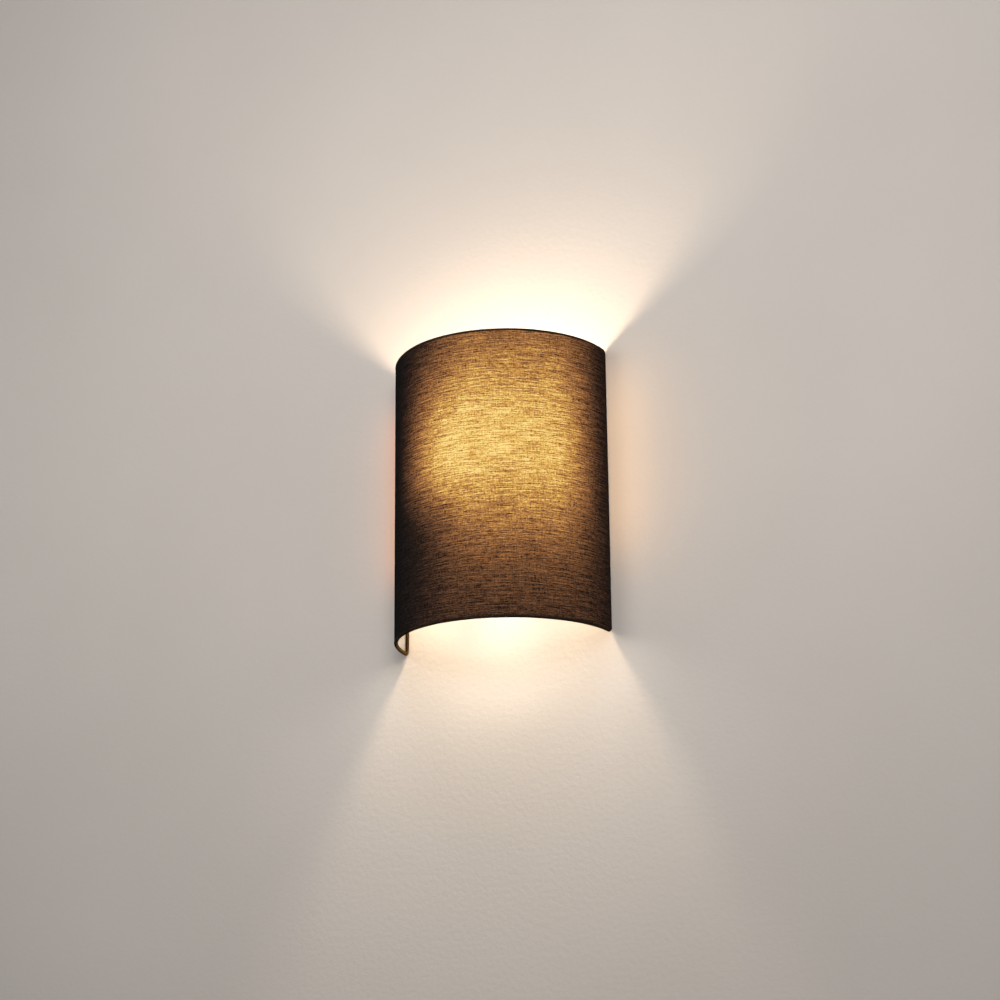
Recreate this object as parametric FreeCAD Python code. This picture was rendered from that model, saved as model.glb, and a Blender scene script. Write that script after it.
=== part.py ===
import FreeCAD, Part

import math
import os

V = FreeCAD.Vector

# Half-round fabric wall light, in millimetres.
# Origin: centre of the wall strap's back, on the wall. +Z up, -Y out of the wall into the room.

# ---------------------------------------------------------------- driving dimensions
# Shade: a half cylinder about a vertical axis that lies on the wall.
shade_radius = 115.0
shade_height = 300.0
shade_drop = 95.0
fabric_t = 0.5
liner_t = 0.4
glue_gap = 0.05
hem_overlap = 0.3
liner_edge_gap = 0.1
wire_d = 2.5
wrap_t = 0.7
hem_bulge = 0.2
hem_wall_gap = 0.5
frame_corner_r = 3.0

# Canopy: folded steel box, open towards the wall.
canopy_w = 80.0
canopy_h = 60.0
canopy_d = 22.0
canopy_t = 1.2
canopy_corner_r = 6.0
canopy_edge_r = 2.0
cut_over = 1.0

# Wall strap: a cross of flat steel with its two ends bent forward as ears.
strap_t = 2.0
strap_bar_h = 16.0
strap_bend_r = 1.0
strap_tower_w = 34.0
strap_tower_up = 27.0
strap_tower_down = 26.0
strap_corner_r = 4.0
strap_fit_gap = 0.1
ear_end_gap = 3.0
wall_slot_spacing = 54.0
wall_slot_w = 5.5
wall_slot_len = 9.0

# Cable entry: a plastic bush snapped into the strap from the front.
entry_z = 18.0
bush_bore_r = 4.5
bush_wall = 1.4
bush_flange_r = 8.0
bush_flange_t = 1.5
bush_round = 1.0

# Terminal block, three poles side by side, its wire mouths up and down.
pole_count = 3
pole_pitch = 10.0
pole_w = 7.0
block_len = 18.0
block_d = 14.0
barrel_d = 9.0
barrel_edge_r = 2.0
web_t = 3.0
web_len = 8.0
chimney_r = 3.1
chimney_offset = 4.6
chimney_foot = 1.0
chimney_bore_r = 1.8
sleeve_r = 2.1
sleeve_t = 0.5
sleeve_inset = 1.5
clamp_screw_r = 1.5
clamp_screw_sink = 2.0
clamp_screw_bite = 1.0
clamp_slot_w = 0.6
clamp_slot_depth = 0.8

# Screws: head radius, head height and shank radius.
m2_head_r = 2.2
m2_head_h = 1.6
m2_r = 1.25
m3_head_r = 2.8
m3_head_h = 1.8
m3_r = 1.5
m4_head_r = 3.8
m4_head_h = 2.4
m4_r = 2.0
m4_nut_af = 7.0
m4_nut_t = 3.0
thread_gap = 0.05
screw_tail = 1.0

# Side screws that hold the canopy and the shade.
side_screw_depth = 11.0
side_screw_reach = 3.7
side_hole_gap = 0.3
washer_r = 5.0
washer_t = 1.0
knob_r = 6.0
knob_len = 8.0
knob_flutes = 12
knob_chamfer = 0.8
knob_plain = 1.5
flute_r = 0.9
flute_inset = 0.5
shank_chamfer = 0.5
slide_gap = 0.05

# Shade carriers: strips from the uprights to the canopy's sides, with a slot over each side screw.
carrier_h = 14.0
carrier_t = 1.5
carrier_bend_r = 1.5
carrier_canopy_gap = 0.1
carrier_nose = 7.0
carrier_nose_r = 3.5
cloth_notch_gap = 0.2

# Holder bracket: an L strap on the canopy's front.
lamp_y = -60.0
bracket_t = 2.0
bracket_w = 24.0
bracket_leg = 26.0
bracket_bend_r = 2.0
bracket_corner_r = 4.0
shelf_end_r = 17.0
shelf_neck = 10.0
bracket_screw_z = 16.0
bracket_screw_spacing = 14.0

# Hollow nipple that carries the holder and the leads.
nipple_r = 5.0
nipple_bore_r = 3.75
nipple_len = 18.0
nipple_chamfer = 0.4
nipple_nut_af = 14.0
nipple_nut_t = 3.0
nipple_nut_fall = 0.65
nipple_washer_r = 8.0
nipple_washer_t = 0.5

# Lampholder, cap down. Heights are above the shelf.
holder_r = 19.5
holder_cap_h = 20.0
holder_h = 50.0
holder_wall = 2.0
holder_foot_r = 12.0
holder_foot_h = 1.0
holder_collar_h = 9.0
holder_collar_wall = 3.5
holder_thread_depth = 0.4
holder_thread_gap = 0.1
holder_mouth_r = 14.4
holder_lip = 4.0
holder_lip_chamfer = 1.0
holder_edge_r = 2.0
holder_seam = 0.3
grip_flutes = 24
grip_flute_r = 1.6
grip_flute_depth = 0.6
grip_low = 23.0
grip_len = 16.0
insert_low = 13.0
insert_top = 22.0
insert_skirt = 3.0
insert_r = 16.2
insert_flange = 0.2
insert_chamfer = 1.0
insert_screw_depth = 6.0
shell_r = 13.45
shell_t = 0.4
shell_top = 46.0
shell_foot = 4.0
shell_flare = 0.3
shell_flare_h = 0.6
contact_w = 6.0
contact_t = 0.5
contact_gap = 0.1
leaf_foot_x = -7.5
leaf_bend_x = -4.5
leaf_end_x = 5.0
leaf_lift = 0.3
terminal_x = 10.0
terminal_screw_len = 5.5

# Leads and their sleeve.
lead_r = 1.0
lead_spread = 1.15
lead_exit_z = -19.0
lead_bend_r = 10.0
lead_turn_r = 3.0
lead_grip = 1.4
lead_drop = 4.2
lead_insert_depth = 5.0
lead_sleeve_r = 2.8
lead_sleeve_t = 0.5
lead_sleeve_tail = 3.0
lead_bush_lip = 1.6
lead_bush_slope = 0.7
lead_bush_nose = 0.8
lead_bush_crown = 1.6
earth_z = -21.0
lug_t = 0.8
lug_barrel_len = 3.5
lug_neck_w = 2.8
lug_neck_lap = 0.5
lug_gap = 1.0
earth_head_r = 3.4
earth_bend_r = 1.6
earth_straight = 0.9
earth_grip = 0.2

# Lamp bulb, cap down, measured up from its contact's tip.
bulb_len = 108.0
bulb_tip_z = 24.0
globe_r = 30.0
globe_t = 1.2
globe_drop = 8.0
cap_r = 13.1
cap_t = 0.3
cap_bottom = 5.5
cap_taper = 2.0
contact_r = 4.6
contact_h = 1.2
cap_top = 28.5
cap_rim = 0.6
cap_rim_h = 1.5
insulator_step = 0.4
insulator_bulge = 0.6
bulb_neck_r = 14.2
bulb_neck_h = 5.0
plug_h = 6.0
plug_lead = 2.0
plug_chamfer = 0.2
housing_t = 1.5
flare_bulge = 2.0
board_t = 2.0
board_r = 25.0
board_gap = 0.1
board_drop = 3.0
board_ledge = 1.5
led_count = 10
led_ring_r = 16.0
led_size = 3.5
led_t = 0.8
driver_w = 24.0
driver_h = 30.0
driver_t = 1.6
driver_tail_w = 16.8
driver_tail_h = 12.0
capacitor_r = 4.0
capacitor_h = 11.0
capacitor_x = -6.0
capacitor_drop = 16.0
coil_r = 4.5
coil_h = 6.0
coil_x = 5.0
coil_drop = 9.0

# ---------------------------------------------------------------- derived places
shade_low = -shade_drop
shade_high = shade_low + shade_height
hem_r = wire_d / 2 + glue_gap + wrap_t
wire_ring_r = shade_radius + hem_bulge - hem_r
wire_low_z = shade_low + hem_r
wire_high_z = shade_high - hem_r
upright_y = -(hem_wall_gap + hem_r)
ring_half_turn = math.acos(-upright_y / math.hypot(wire_ring_r, frame_corner_r))
ring_half_turn -= math.atan2(frame_corner_r, wire_ring_r)
ring_end_angle = 90 - math.degrees(ring_half_turn)
upright_x = wire_ring_r * math.sin(ring_half_turn) + frame_corner_r * math.cos(ring_half_turn)
upright_angle = math.degrees(math.atan2(-upright_y, upright_x))
fabric_in_r = shade_radius - fabric_t
liner_out_r = fabric_in_r - glue_gap
liner_in_r = liner_out_r - liner_t

canopy_side = canopy_w / 2
canopy_in_side = canopy_side - canopy_t
canopy_front = -canopy_d
canopy_in_front = canopy_front + canopy_t
ear_out_x = canopy_in_side - strap_fit_gap
carrier_in_x = canopy_side + carrier_canopy_gap
carrier_out_x = carrier_in_x + carrier_t
washer_in_x = carrier_out_x + slide_gap
knob_in_x = washer_in_x + washer_t
slot_r = m4_r + side_hole_gap
ear_in_x = ear_out_x - strap_t
pole_places = [(k - (pole_count - 1) / 2) * pole_pitch for k in range(pole_count)]
earth_x = pole_places[0]
lug_barrel_low = earth_z + m4_head_r + lug_gap
lug_barrel_y = -strap_t - lead_r - lug_t

bracket_face = canopy_front - bracket_t
shelf_low = -bracket_t
nipple_low = -nipple_len / 2
lead_bore_r = lead_sleeve_r - lead_sleeve_t
lead_bush_r = lead_sleeve_r + glue_gap + bush_wall
block_foot = block_len / 2
block_face = -strap_t - block_d
wire_axis_y = -strap_t - barrel_d / 2
bulb_top_z = bulb_tip_z + bulb_len
globe_z = bulb_top_z - globe_r
globe_low = globe_z - globe_drop
globe_low_r = math.sqrt(globe_r**2 - globe_drop**2)
board_low = globe_low - board_drop
cap_top_z = bulb_tip_z + cap_top


# ---------------------------------------------------------------- drawing helpers
def outline(start, *steps):
    """A closed wire. A step is a point for a straight line, or [middle, end] for an arc."""
    edges = []
    here = start
    for step in steps:
        if isinstance(step, list):
            edges.append(Part.Arc(here, step[0], step[1]).toShape())
            here = step[1]
        else:
            edges.append(Part.LineSegment(here, step).toShape())
            here = step
    if here.distanceToPoint(start) > 1e-6:
        edges.append(Part.LineSegment(here, start).toShape())
    return Part.Wire(edges)


def corner(centre, radius, degrees):
    """The point at an angle on a circle, in the plane that the centre's own pair of axes spans."""
    turn = math.radians(degrees)
    return (centre[0] + radius * math.cos(turn), centre[1] + radius * math.sin(turn))


def on_rz(r, z):
    """A profile point at radius r and height z."""
    return V(r, 0, z)


def turned(wire, y=0.0):
    """The solid that a radius and height profile sweeps about the vertical line at x 0 and this y."""
    solid = Part.Face(wire).revolve(V(0, 0, 0), V(0, 0, 1), 360)
    solid.translate(V(0, y, 0))
    return solid


def ring(outer_r, inner_r, low, high, y=0.0):
    """An upright tube about the vertical line at x 0 and this y."""
    solid = Part.makeCylinder(outer_r, high - low, V(0, y, low))
    return solid.cut(Part.makeCylinder(inner_r, high - low, V(0, y, low)))


def block(x0, x1, y0, y1, z0, z1):
    """A box between two values on each axis."""
    return Part.makeBox(x1 - x0, y1 - y0, z1 - z0, V(x0, y0, z0))


def round_plate(x0, x1, z0, z1, y0, y1, radius):
    """A plate parallel to the wall with its four corners rounded."""
    plate = block(x0, x1, y0, y1, z0, z1)
    return plate.makeFillet(radius, edges_along(plate, V(0, 1, 0)))


def edges_along(shape, axis):
    """The straight edges of a shape that run along an axis."""
    found = []
    for edge in shape.Edges:
        if edge.Curve.TypeId == "Part::GeomLine" and abs(edge.Curve.Direction.dot(axis)) > 0.999:
            found.append(edge)
    return found


def edges_on(shape, axis, value):
    """The edges of a shape that lie in the plane where one axis has this value."""
    found = []
    for edge in shape.Edges:
        ends = [edge.valueAt(p).dot(axis) for p in (edge.FirstParameter, edge.LastParameter)]
        middle = edge.valueAt((edge.FirstParameter + edge.LastParameter) / 2).dot(axis)
        if max(abs(end - value) for end in ends + [middle]) < 1e-6:
            found.append(edge)
    return found


def mirrored(shape):
    """The same shape on the other side of the lamp's middle plane."""
    return shape.mirror(V(0, 0, 0), V(1, 0, 0))


def hexagon(across_flats, depth, base, axis):
    """A hexagonal prism that grows from its base centre along an axis."""
    corner_r = across_flats / math.sqrt(3)
    points = []
    for k in range(7):
        turn = math.radians(60 * k)
        points.append(V(corner_r * math.cos(turn), corner_r * math.sin(turn), 0))
    prism = Part.Face(Part.makePolygon(points)).extrude(V(0, 0, depth))
    prism.Placement = FreeCAD.Placement(base, FreeCAD.Rotation(V(0, 0, 1), axis))
    return prism


def pan_screw(head_r, head_h, shank_r, shank_len, seat, inward):
    """A pan head screw: the head stands on its seat and the shank runs inward from it."""
    head = Part.makeCylinder(head_r, head_h, V(0, 0, -head_h))
    head = head.makeChamfer(head_h * 0.3, edges_on(head, V(0, 0, 1), -head_h))
    slot_half = head_r * 0.12
    slot = block(-head_r, head_r, -slot_half, slot_half, -head_h, -head_h * 0.6)
    screw = head.cut(slot).fuse(Part.makeCylinder(shank_r, shank_len))
    screw.Placement = FreeCAD.Placement(seat, FreeCAD.Rotation(V(0, 0, 1), inward))
    return screw


def route(points, radii):
    """A wire of straight runs through the points, joined by tangent arcs of the given radii."""
    edges = []
    here = points[0]
    for k, radius in enumerate(radii):
        at = points[k + 1]
        back = (points[k] - at).normalize()
        on = (points[k + 2] - at).normalize()
        half = math.acos(max(-1.0, min(1.0, back.dot(on)))) / 2
        reach = radius / math.tan(half)
        first = at + back * reach
        last = at + on * reach
        bisector = (back + on).normalize()
        middle = at + bisector * (radius / math.sin(half) - radius)
        edges.append(Part.LineSegment(here, first).toShape())
        edges.append(Part.Arc(first, middle, last).toShape())
        here = last
    edges.append(Part.LineSegment(here, points[-1]).toShape())
    return Part.Wire(edges)


def swept(path, radius):
    """A round bar of this radius along a path."""
    start = path.Edges[0].valueAt(path.Edges[0].FirstParameter)
    along = path.Edges[0].tangentAt(path.Edges[0].FirstParameter)
    section = Part.Wire(Part.makeCircle(radius, start, along))
    return path.makePipeShell([section], True, True)


def report_lead(name, solid, path, radii):
    """Prints a lead's length, its bend radii and how its volume compares with section times length."""
    ideal = math.pi * lead_r**2 * path.Length
    print(f"{name}: length {path.Length:.1f} mm, radii {radii}, volume ratio {solid.Volume / ideal:.4f}")


# ---------------------------------------------------------------- wall strap and cable entry
def mounting_strap():
    """The cross plate: a bar with bent ears, a tower behind the terminal block, and all its holes."""
    out_r = strap_bend_r + strap_t
    ear_end = canopy_in_front + ear_end_gap
    bend_x = ear_out_x - out_r
    out_mid = corner((bend_x, -out_r), out_r, 45)
    in_mid = corner((bend_x, -out_r), strap_bend_r, 45)
    plan = outline(
        V(-bend_x, 0, 0),
        V(bend_x, 0, 0),
        [V(out_mid[0], out_mid[1], 0), V(ear_out_x, -out_r, 0)],
        V(ear_out_x, ear_end, 0),
        V(ear_in_x, ear_end, 0),
        V(ear_in_x, -out_r, 0),
        [V(in_mid[0], in_mid[1], 0), V(bend_x, -strap_t, 0)],
        V(-bend_x, -strap_t, 0),
        [V(-in_mid[0], in_mid[1], 0), V(-ear_in_x, -out_r, 0)],
        V(-ear_in_x, ear_end, 0),
        V(-ear_out_x, ear_end, 0),
        V(-ear_out_x, -out_r, 0),
        [V(-out_mid[0], out_mid[1], 0), V(-bend_x, 0, 0)],
    )
    bar = Part.Face(plan).extrude(V(0, 0, strap_bar_h))
    bar.translate(V(0, 0, -strap_bar_h / 2))
    ear_corners = [e for e in edges_along(bar, V(1, 0, 0)) if abs(e.CenterOfMass.y - ear_end) < 1e-6]
    bar = bar.makeFillet(strap_corner_r, ear_corners)
    half = strap_tower_w / 2
    tower = round_plate(-half, half, -strap_tower_down, strap_tower_up, -strap_t, 0, strap_corner_r)
    strap = bar.fuse(tower).removeSplitter()
    for side in (-1, 1):
        strap = strap.cut(wall_slot(side * wall_slot_spacing / 2))
        start = V(side * (ear_in_x - cut_over), -side_screw_depth, 0)
        hole = Part.makeCylinder(m4_r + thread_gap, strap_t + 2 * cut_over, start, V(side, 0, 0))
        strap = strap.cut(hole)
    entry = Part.makeCylinder(bush_bore_r + bush_wall, strap_t, V(0, 0, entry_z), V(0, -1, 0))
    block_hole = Part.makeCylinder(m2_r + thread_gap, strap_t, V(pole_pitch / 2, 0, 0), V(0, -1, 0))
    earth_hole = Part.makeCylinder(m4_r + thread_gap, strap_t, V(earth_x, 0, earth_z), V(0, -1, 0))
    return strap.cut(entry).cut(block_hole).cut(earth_hole)


def wall_slot(x):
    """One horizontal slot for a wall screw."""
    half = wall_slot_len / 2
    slot = block(x - half, x + half, -strap_t, 0, -wall_slot_w / 2, wall_slot_w / 2)
    return slot.makeFillet(wall_slot_w / 2 * 0.999, edges_along(slot, V(0, 1, 0)))


def cable_bush():
    """The flanged bush in the strap's cable hole, flush with the wall at its back."""
    barrel_r = bush_bore_r + bush_wall
    face = strap_t + bush_flange_t
    rim = (bush_flange_r - bush_round, face - bush_round)
    rim_mid = corner(rim, bush_round, 45)
    profile = outline(
        on_rz(bush_bore_r, 0),
        on_rz(barrel_r, 0),
        on_rz(barrel_r, strap_t),
        on_rz(bush_flange_r, strap_t),
        on_rz(bush_flange_r, rim[1]),
        [on_rz(*rim_mid), on_rz(rim[0], face)],
        on_rz(bush_bore_r, face),
    )
    bush = turned(profile)
    bush.Placement = FreeCAD.Placement(V(0, 0, entry_z), FreeCAD.Rotation(V(0, 0, 1), V(0, -1, 0)))
    return bush


# ---------------------------------------------------------------- terminal block
def terminal_block():
    """Three barrels with two screw chimneys each, joined by thin webs."""
    back = -strap_t
    front = back - barrel_d
    body = None
    for x in pole_places:
        barrel = block(x - pole_w / 2, x + pole_w / 2, front, back, -block_foot, block_foot)
        rounded = [e for e in edges_along(barrel, V(0, 0, 1)) if abs(e.CenterOfMass.y - front) < 1e-6]
        barrel = barrel.makeFillet(barrel_edge_r, rounded)
        for z in (-chimney_offset, chimney_offset):
            foot = V(x, back - chimney_foot, z)
            barrel = barrel.fuse(Part.makeCylinder(chimney_r, block_d - chimney_foot, foot, V(0, -1, 0)))
        body = barrel if body is None else body.fuse(barrel)
    span = pole_pitch * (pole_count - 1) / 2
    body = body.fuse(block(-span, span, back - web_t, back, -web_len / 2, web_len / 2))
    for x in pole_places:
        body = body.cut(Part.makeCylinder(sleeve_r, block_len, V(x, wire_axis_y, -block_foot)))
        for z in (-chimney_offset, chimney_offset):
            centre = V(x, wire_axis_y, z)
            shaft = Part.makeCylinder(chimney_bore_r, wire_axis_y - block_face, centre, V(0, -1, 0))
            body = body.cut(shaft)
    seat = V(pole_pitch / 2, back - web_t, 0)
    hole = Part.makeCylinder(m2_r + side_hole_gap, web_t, seat, V(0, 1, 0))
    head_room = Part.makeCylinder(m2_head_r + side_hole_gap, block_d, seat, V(0, -1, 0))
    return body.cut(hole).cut(head_room)


def terminal_sleeves():
    """The brass tube in each pole, with a tapped hole under each chimney."""
    solids = []
    length = block_len - 2 * sleeve_inset
    for x in pole_places:
        tube = Part.makeCylinder(sleeve_r - glue_gap, length, V(x, wire_axis_y, -length / 2))
        tube = tube.cut(Part.makeCylinder(sleeve_r - sleeve_t, length, V(x, wire_axis_y, -length / 2)))
        for z in (-chimney_offset, chimney_offset):
            tube = tube.cut(Part.makeCylinder(clamp_screw_r, sleeve_r, V(x, wire_axis_y, z), V(0, -1, 0)))
        solids.append(tube)
    return Part.makeCompound(solids)


def terminal_screws():
    """Six slotted grub screws, one in each chimney, clamping into the brass tubes."""
    solids = []
    top = block_face + clamp_screw_sink
    length = wire_axis_y - sleeve_r + clamp_screw_bite - top
    slot_half = clamp_slot_w / 2
    for x in pole_places:
        for z in (-chimney_offset, chimney_offset):
            screw = Part.makeCylinder(clamp_screw_r - thread_gap, length, V(x, top, z), V(0, 1, 0))
            ends = (x - clamp_screw_r, x + clamp_screw_r)
            slot = block(*ends, top, top + clamp_slot_depth, z - slot_half, z + slot_half)
            solids.append(screw.cut(slot))
    return Part.makeCompound(solids)


def terminal_block_screw():
    """The screw that holds the block's web to the strap."""
    seat = V(pole_pitch / 2, -strap_t - web_t, 0)
    return pan_screw(m2_head_r, m2_head_h, m2_r, web_t + strap_t, seat, V(0, 1, 0))


# ---------------------------------------------------------------- earth
def earth_lug():
    """A ring lug under the earth screw with its crimp barrel towards the terminal block."""
    back = -strap_t
    neck = lug_neck_w / 2
    pad = Part.makeCylinder(m4_head_r, lug_t, V(earth_x, back, earth_z), V(0, -1, 0))
    top = lug_barrel_low + lug_neck_lap
    strip = block(earth_x - neck, earth_x + neck, back - lug_t, back, earth_z, top)
    barrel_foot = V(earth_x, lug_barrel_y, lug_barrel_low)
    barrel = Part.makeCylinder(lead_r + lug_t, lug_barrel_len, barrel_foot)
    lug = pad.fuse(strip).fuse(barrel)
    lug = lug.cut(Part.makeCylinder(m4_r + side_hole_gap, lug_t, V(earth_x, back, earth_z), V(0, -1, 0)))
    return lug.cut(Part.makeCylinder(lead_r, lug_barrel_len, barrel_foot))


def earth_screw():
    """The screw that clamps the lug to the strap."""
    seat = V(earth_x, -strap_t - lug_t, earth_z)
    return pan_screw(earth_head_r, m4_head_h, m4_r, strap_t + lug_t, seat, V(0, 1, 0))


def earth_lead():
    """The short earth lead from the lug's barrel up into the nearest pole."""
    points = [
        V(earth_x, lug_barrel_y, lug_barrel_low + earth_grip),
        V(earth_x, lug_barrel_y, lug_barrel_low + lug_barrel_len + earth_straight),
        V(earth_x, wire_axis_y, -block_foot - earth_straight),
        V(earth_x, wire_axis_y, -block_foot + lead_grip),
    ]
    radii = [earth_bend_r, earth_bend_r]
    path = route(points, radii)
    solid = swept(path, lead_r)
    report_lead("earth_lead", solid, path, radii)
    return solid


# ---------------------------------------------------------------- canopy
def canopy():
    """The folded cover with rounded corners, side holes and the holes of its front face."""
    half_h = canopy_h / 2
    shell = round_plate(-canopy_side, canopy_side, -half_h, half_h, canopy_front, 0, canopy_corner_r)
    shell = shell.makeFillet(canopy_edge_r, edges_on(shell, V(0, 1, 0), canopy_front))
    inner_r = canopy_corner_r - canopy_t
    inner_h = half_h - canopy_t
    hollow = round_plate(-canopy_in_side, canopy_in_side, -inner_h, inner_h, canopy_in_front, 0, inner_r)
    inner_edge_r = canopy_edge_r - canopy_t
    hollow = hollow.makeFillet(inner_edge_r, edges_on(hollow, V(0, 1, 0), canopy_in_front))
    shell = shell.cut(hollow)
    for side in (-1, 1):
        start = V(side * canopy_in_side, -side_screw_depth, 0)
        shell = shell.cut(Part.makeCylinder(slot_r, canopy_t, start, V(side, 0, 0)))
        start = V(side * bracket_screw_spacing / 2, canopy_in_front, bracket_screw_z)
        shell = shell.cut(Part.makeCylinder(m4_r + side_hole_gap, canopy_t, start, V(0, -1, 0)))
    start = V(0, canopy_in_front, lead_exit_z)
    return shell.cut(Part.makeCylinder(lead_bush_r, canopy_t, start, V(0, -1, 0)))


def lead_bush():
    """The bush that keeps the leads off the canopy's edge, with a lip on both sides of the sheet."""
    bore = lead_sleeve_r + glue_gap
    lip = lead_bush_r + lead_bush_lip
    nose = canopy_t + lead_bush_nose
    profile = outline(
        on_rz(bore, -lead_bush_lip),
        on_rz(lip - lead_bush_slope, -lead_bush_lip),
        on_rz(lip, lead_bush_slope - lead_bush_lip),
        on_rz(lip, 0),
        on_rz(lead_bush_r, 0),
        on_rz(lead_bush_r, canopy_t),
        on_rz(lip, canopy_t),
        on_rz(lip, nose),
        on_rz(bore + lead_bush_slope, nose + lead_bush_crown),
        on_rz(bore, nose + lead_bush_crown),
    )
    bush = turned(profile)
    place = V(0, canopy_in_front, lead_exit_z)
    bush.Placement = FreeCAD.Placement(place, FreeCAD.Rotation(V(0, 0, 1), V(0, -1, 0)))
    return bush


# ---------------------------------------------------------------- holder bracket and nipple
def holder_bracket():
    """The L strap: a leg on the canopy's front and a shelf that ends round under the holder."""
    out_r = bracket_bend_r + bracket_t
    end_y = lamp_y - shelf_end_r
    bend = (bracket_face - bracket_bend_r, bracket_bend_r)
    out_mid = corner(bend, out_r, -45)
    in_mid = corner(bend, bracket_bend_r, -45)
    side = outline(
        V(0, canopy_front, bracket_leg),
        V(0, canopy_front, bracket_bend_r),
        [V(0, out_mid[0], out_mid[1]), V(0, bend[0], shelf_low)],
        V(0, end_y, shelf_low),
        V(0, end_y, 0),
        V(0, bend[0], 0),
        [V(0, in_mid[0], in_mid[1]), V(0, bracket_face, bracket_bend_r)],
        V(0, bracket_face, bracket_leg),
    )
    strip = Part.Face(side).extrude(V(2 * shelf_end_r, 0, 0))
    strip.translate(V(-shelf_end_r, 0, 0))
    bracket = strip.common(shelf_plan())
    top = [e for e in edges_along(bracket, V(0, 1, 0)) if abs(e.CenterOfMass.z - bracket_leg) < 1e-6]
    bracket = bracket.makeFillet(bracket_corner_r, top)
    bracket = bracket.cut(Part.makeCylinder(nipple_r + 2 * thread_gap, bracket_t, V(0, lamp_y, shelf_low)))
    for x in (-bracket_screw_spacing / 2, bracket_screw_spacing / 2):
        start = V(x, canopy_front, bracket_screw_z)
        bracket = bracket.cut(Part.makeCylinder(m4_r + side_hole_gap, bracket_t, start, V(0, -1, 0)))
    return bracket


def shelf_plan():
    """The bracket's outline from above: parallel at the wall, then tangent to its round end."""
    half = bracket_w / 2
    neck_y = canopy_front - shelf_neck
    away = neck_y - lamp_y
    reach = math.hypot(half, away)
    touch = math.degrees(math.atan2(away, half) - math.acos(shelf_end_r / reach))
    right = corner((0, lamp_y), shelf_end_r, touch)
    plan = outline(
        V(half, canopy_front, 0),
        V(half, neck_y, 0),
        V(right[0], right[1], 0),
        [V(0, lamp_y - shelf_end_r, 0), V(-right[0], right[1], 0)],
        V(-half, neck_y, 0),
        V(-half, canopy_front, 0),
    )
    prism = Part.Face(plan).extrude(V(0, 0, bracket_leg + bracket_t))
    prism.translate(V(0, 0, shelf_low))
    return prism


def bracket_screws():
    """The two screws that hold the bracket to the canopy."""
    solids = []
    length = bracket_t + canopy_t + m4_nut_t + screw_tail
    for x in (-bracket_screw_spacing / 2, bracket_screw_spacing / 2):
        seat = V(x, bracket_face, bracket_screw_z)
        solids.append(pan_screw(m4_head_r, m4_head_h, m4_r, length, seat, V(0, 1, 0)))
    return Part.makeCompound(solids)


def bracket_nuts():
    """The two nuts on the inside of the canopy's front."""
    solids = []
    for x in (-bracket_screw_spacing / 2, bracket_screw_spacing / 2):
        base = V(x, canopy_in_front, bracket_screw_z)
        nut = hexagon(m4_nut_af, m4_nut_t, base, V(0, 1, 0))
        solids.append(nut.cut(Part.makeCylinder(m4_r + thread_gap, m4_nut_t, base, V(0, 1, 0))))
    return Part.makeCompound(solids)


def hollow_nipple():
    """The tube that the holder and its nut screw onto."""
    tube = ring(nipple_r, nipple_bore_r, nipple_low, nipple_low + nipple_len, lamp_y)
    ends = edges_on(tube, V(0, 0, 1), nipple_low) + edges_on(tube, V(0, 0, 1), nipple_low + nipple_len)
    rims = [e for e in ends if abs(e.Curve.Radius - nipple_r) < 1e-6]
    return tube.makeChamfer(nipple_chamfer, rims)


def nipple_washer():
    """The flat washer between the shelf and the nut."""
    return ring(nipple_washer_r, nipple_r + 2 * thread_gap, shelf_low - nipple_washer_t, shelf_low, lamp_y)


def nipple_nut():
    """The hexagon nut under the shelf, its corners turned off on both faces."""
    low = shelf_low - nipple_washer_t - nipple_nut_t
    nut = hexagon(nipple_nut_af, nipple_nut_t, V(0, lamp_y, low), V(0, 0, 1))
    flat_r = nipple_nut_af / 2
    point_r = nipple_nut_af / math.sqrt(3)
    barrel = turned(outline(
        on_rz(0, low),
        on_rz(flat_r, low),
        on_rz(point_r, low + nipple_nut_fall),
        on_rz(point_r, low + nipple_nut_t - nipple_nut_fall),
        on_rz(flat_r, low + nipple_nut_t),
        on_rz(0, low + nipple_nut_t),
    ), lamp_y)
    nut = nut.common(barrel)
    return nut.cut(Part.makeCylinder(nipple_r + thread_gap, nipple_nut_t, V(0, lamp_y, low)))


# ---------------------------------------------------------------- lampholder
def holder_cap():
    """The moulded cap: a foot, a shoulder, a skirt, and the threaded collar inside."""
    skirt_in = holder_r - holder_wall + holder_thread_depth
    shoulder_r = holder_r - holder_foot_r
    centre = (holder_foot_r, holder_foot_h + shoulder_r)
    inner_r = skirt_in - holder_foot_r
    out_mid = corner(centre, shoulder_r, -45)
    in_mid = corner(centre, inner_r, -45)
    floor_z = centre[1] - inner_r
    bore = nipple_r + thread_gap
    collar_r = nipple_r + holder_collar_wall
    profile = outline(
        on_rz(bore, 0),
        on_rz(holder_foot_r, 0),
        on_rz(holder_foot_r, holder_foot_h),
        [on_rz(*out_mid), on_rz(holder_r, centre[1])],
        on_rz(holder_r, holder_cap_h),
        on_rz(skirt_in, holder_cap_h),
        on_rz(skirt_in, centre[1]),
        [on_rz(*in_mid), on_rz(holder_foot_r, floor_z)],
        on_rz(collar_r, floor_z),
        on_rz(collar_r, holder_collar_h),
        on_rz(bore, holder_collar_h),
    )
    return turned(profile, lamp_y)


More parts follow.
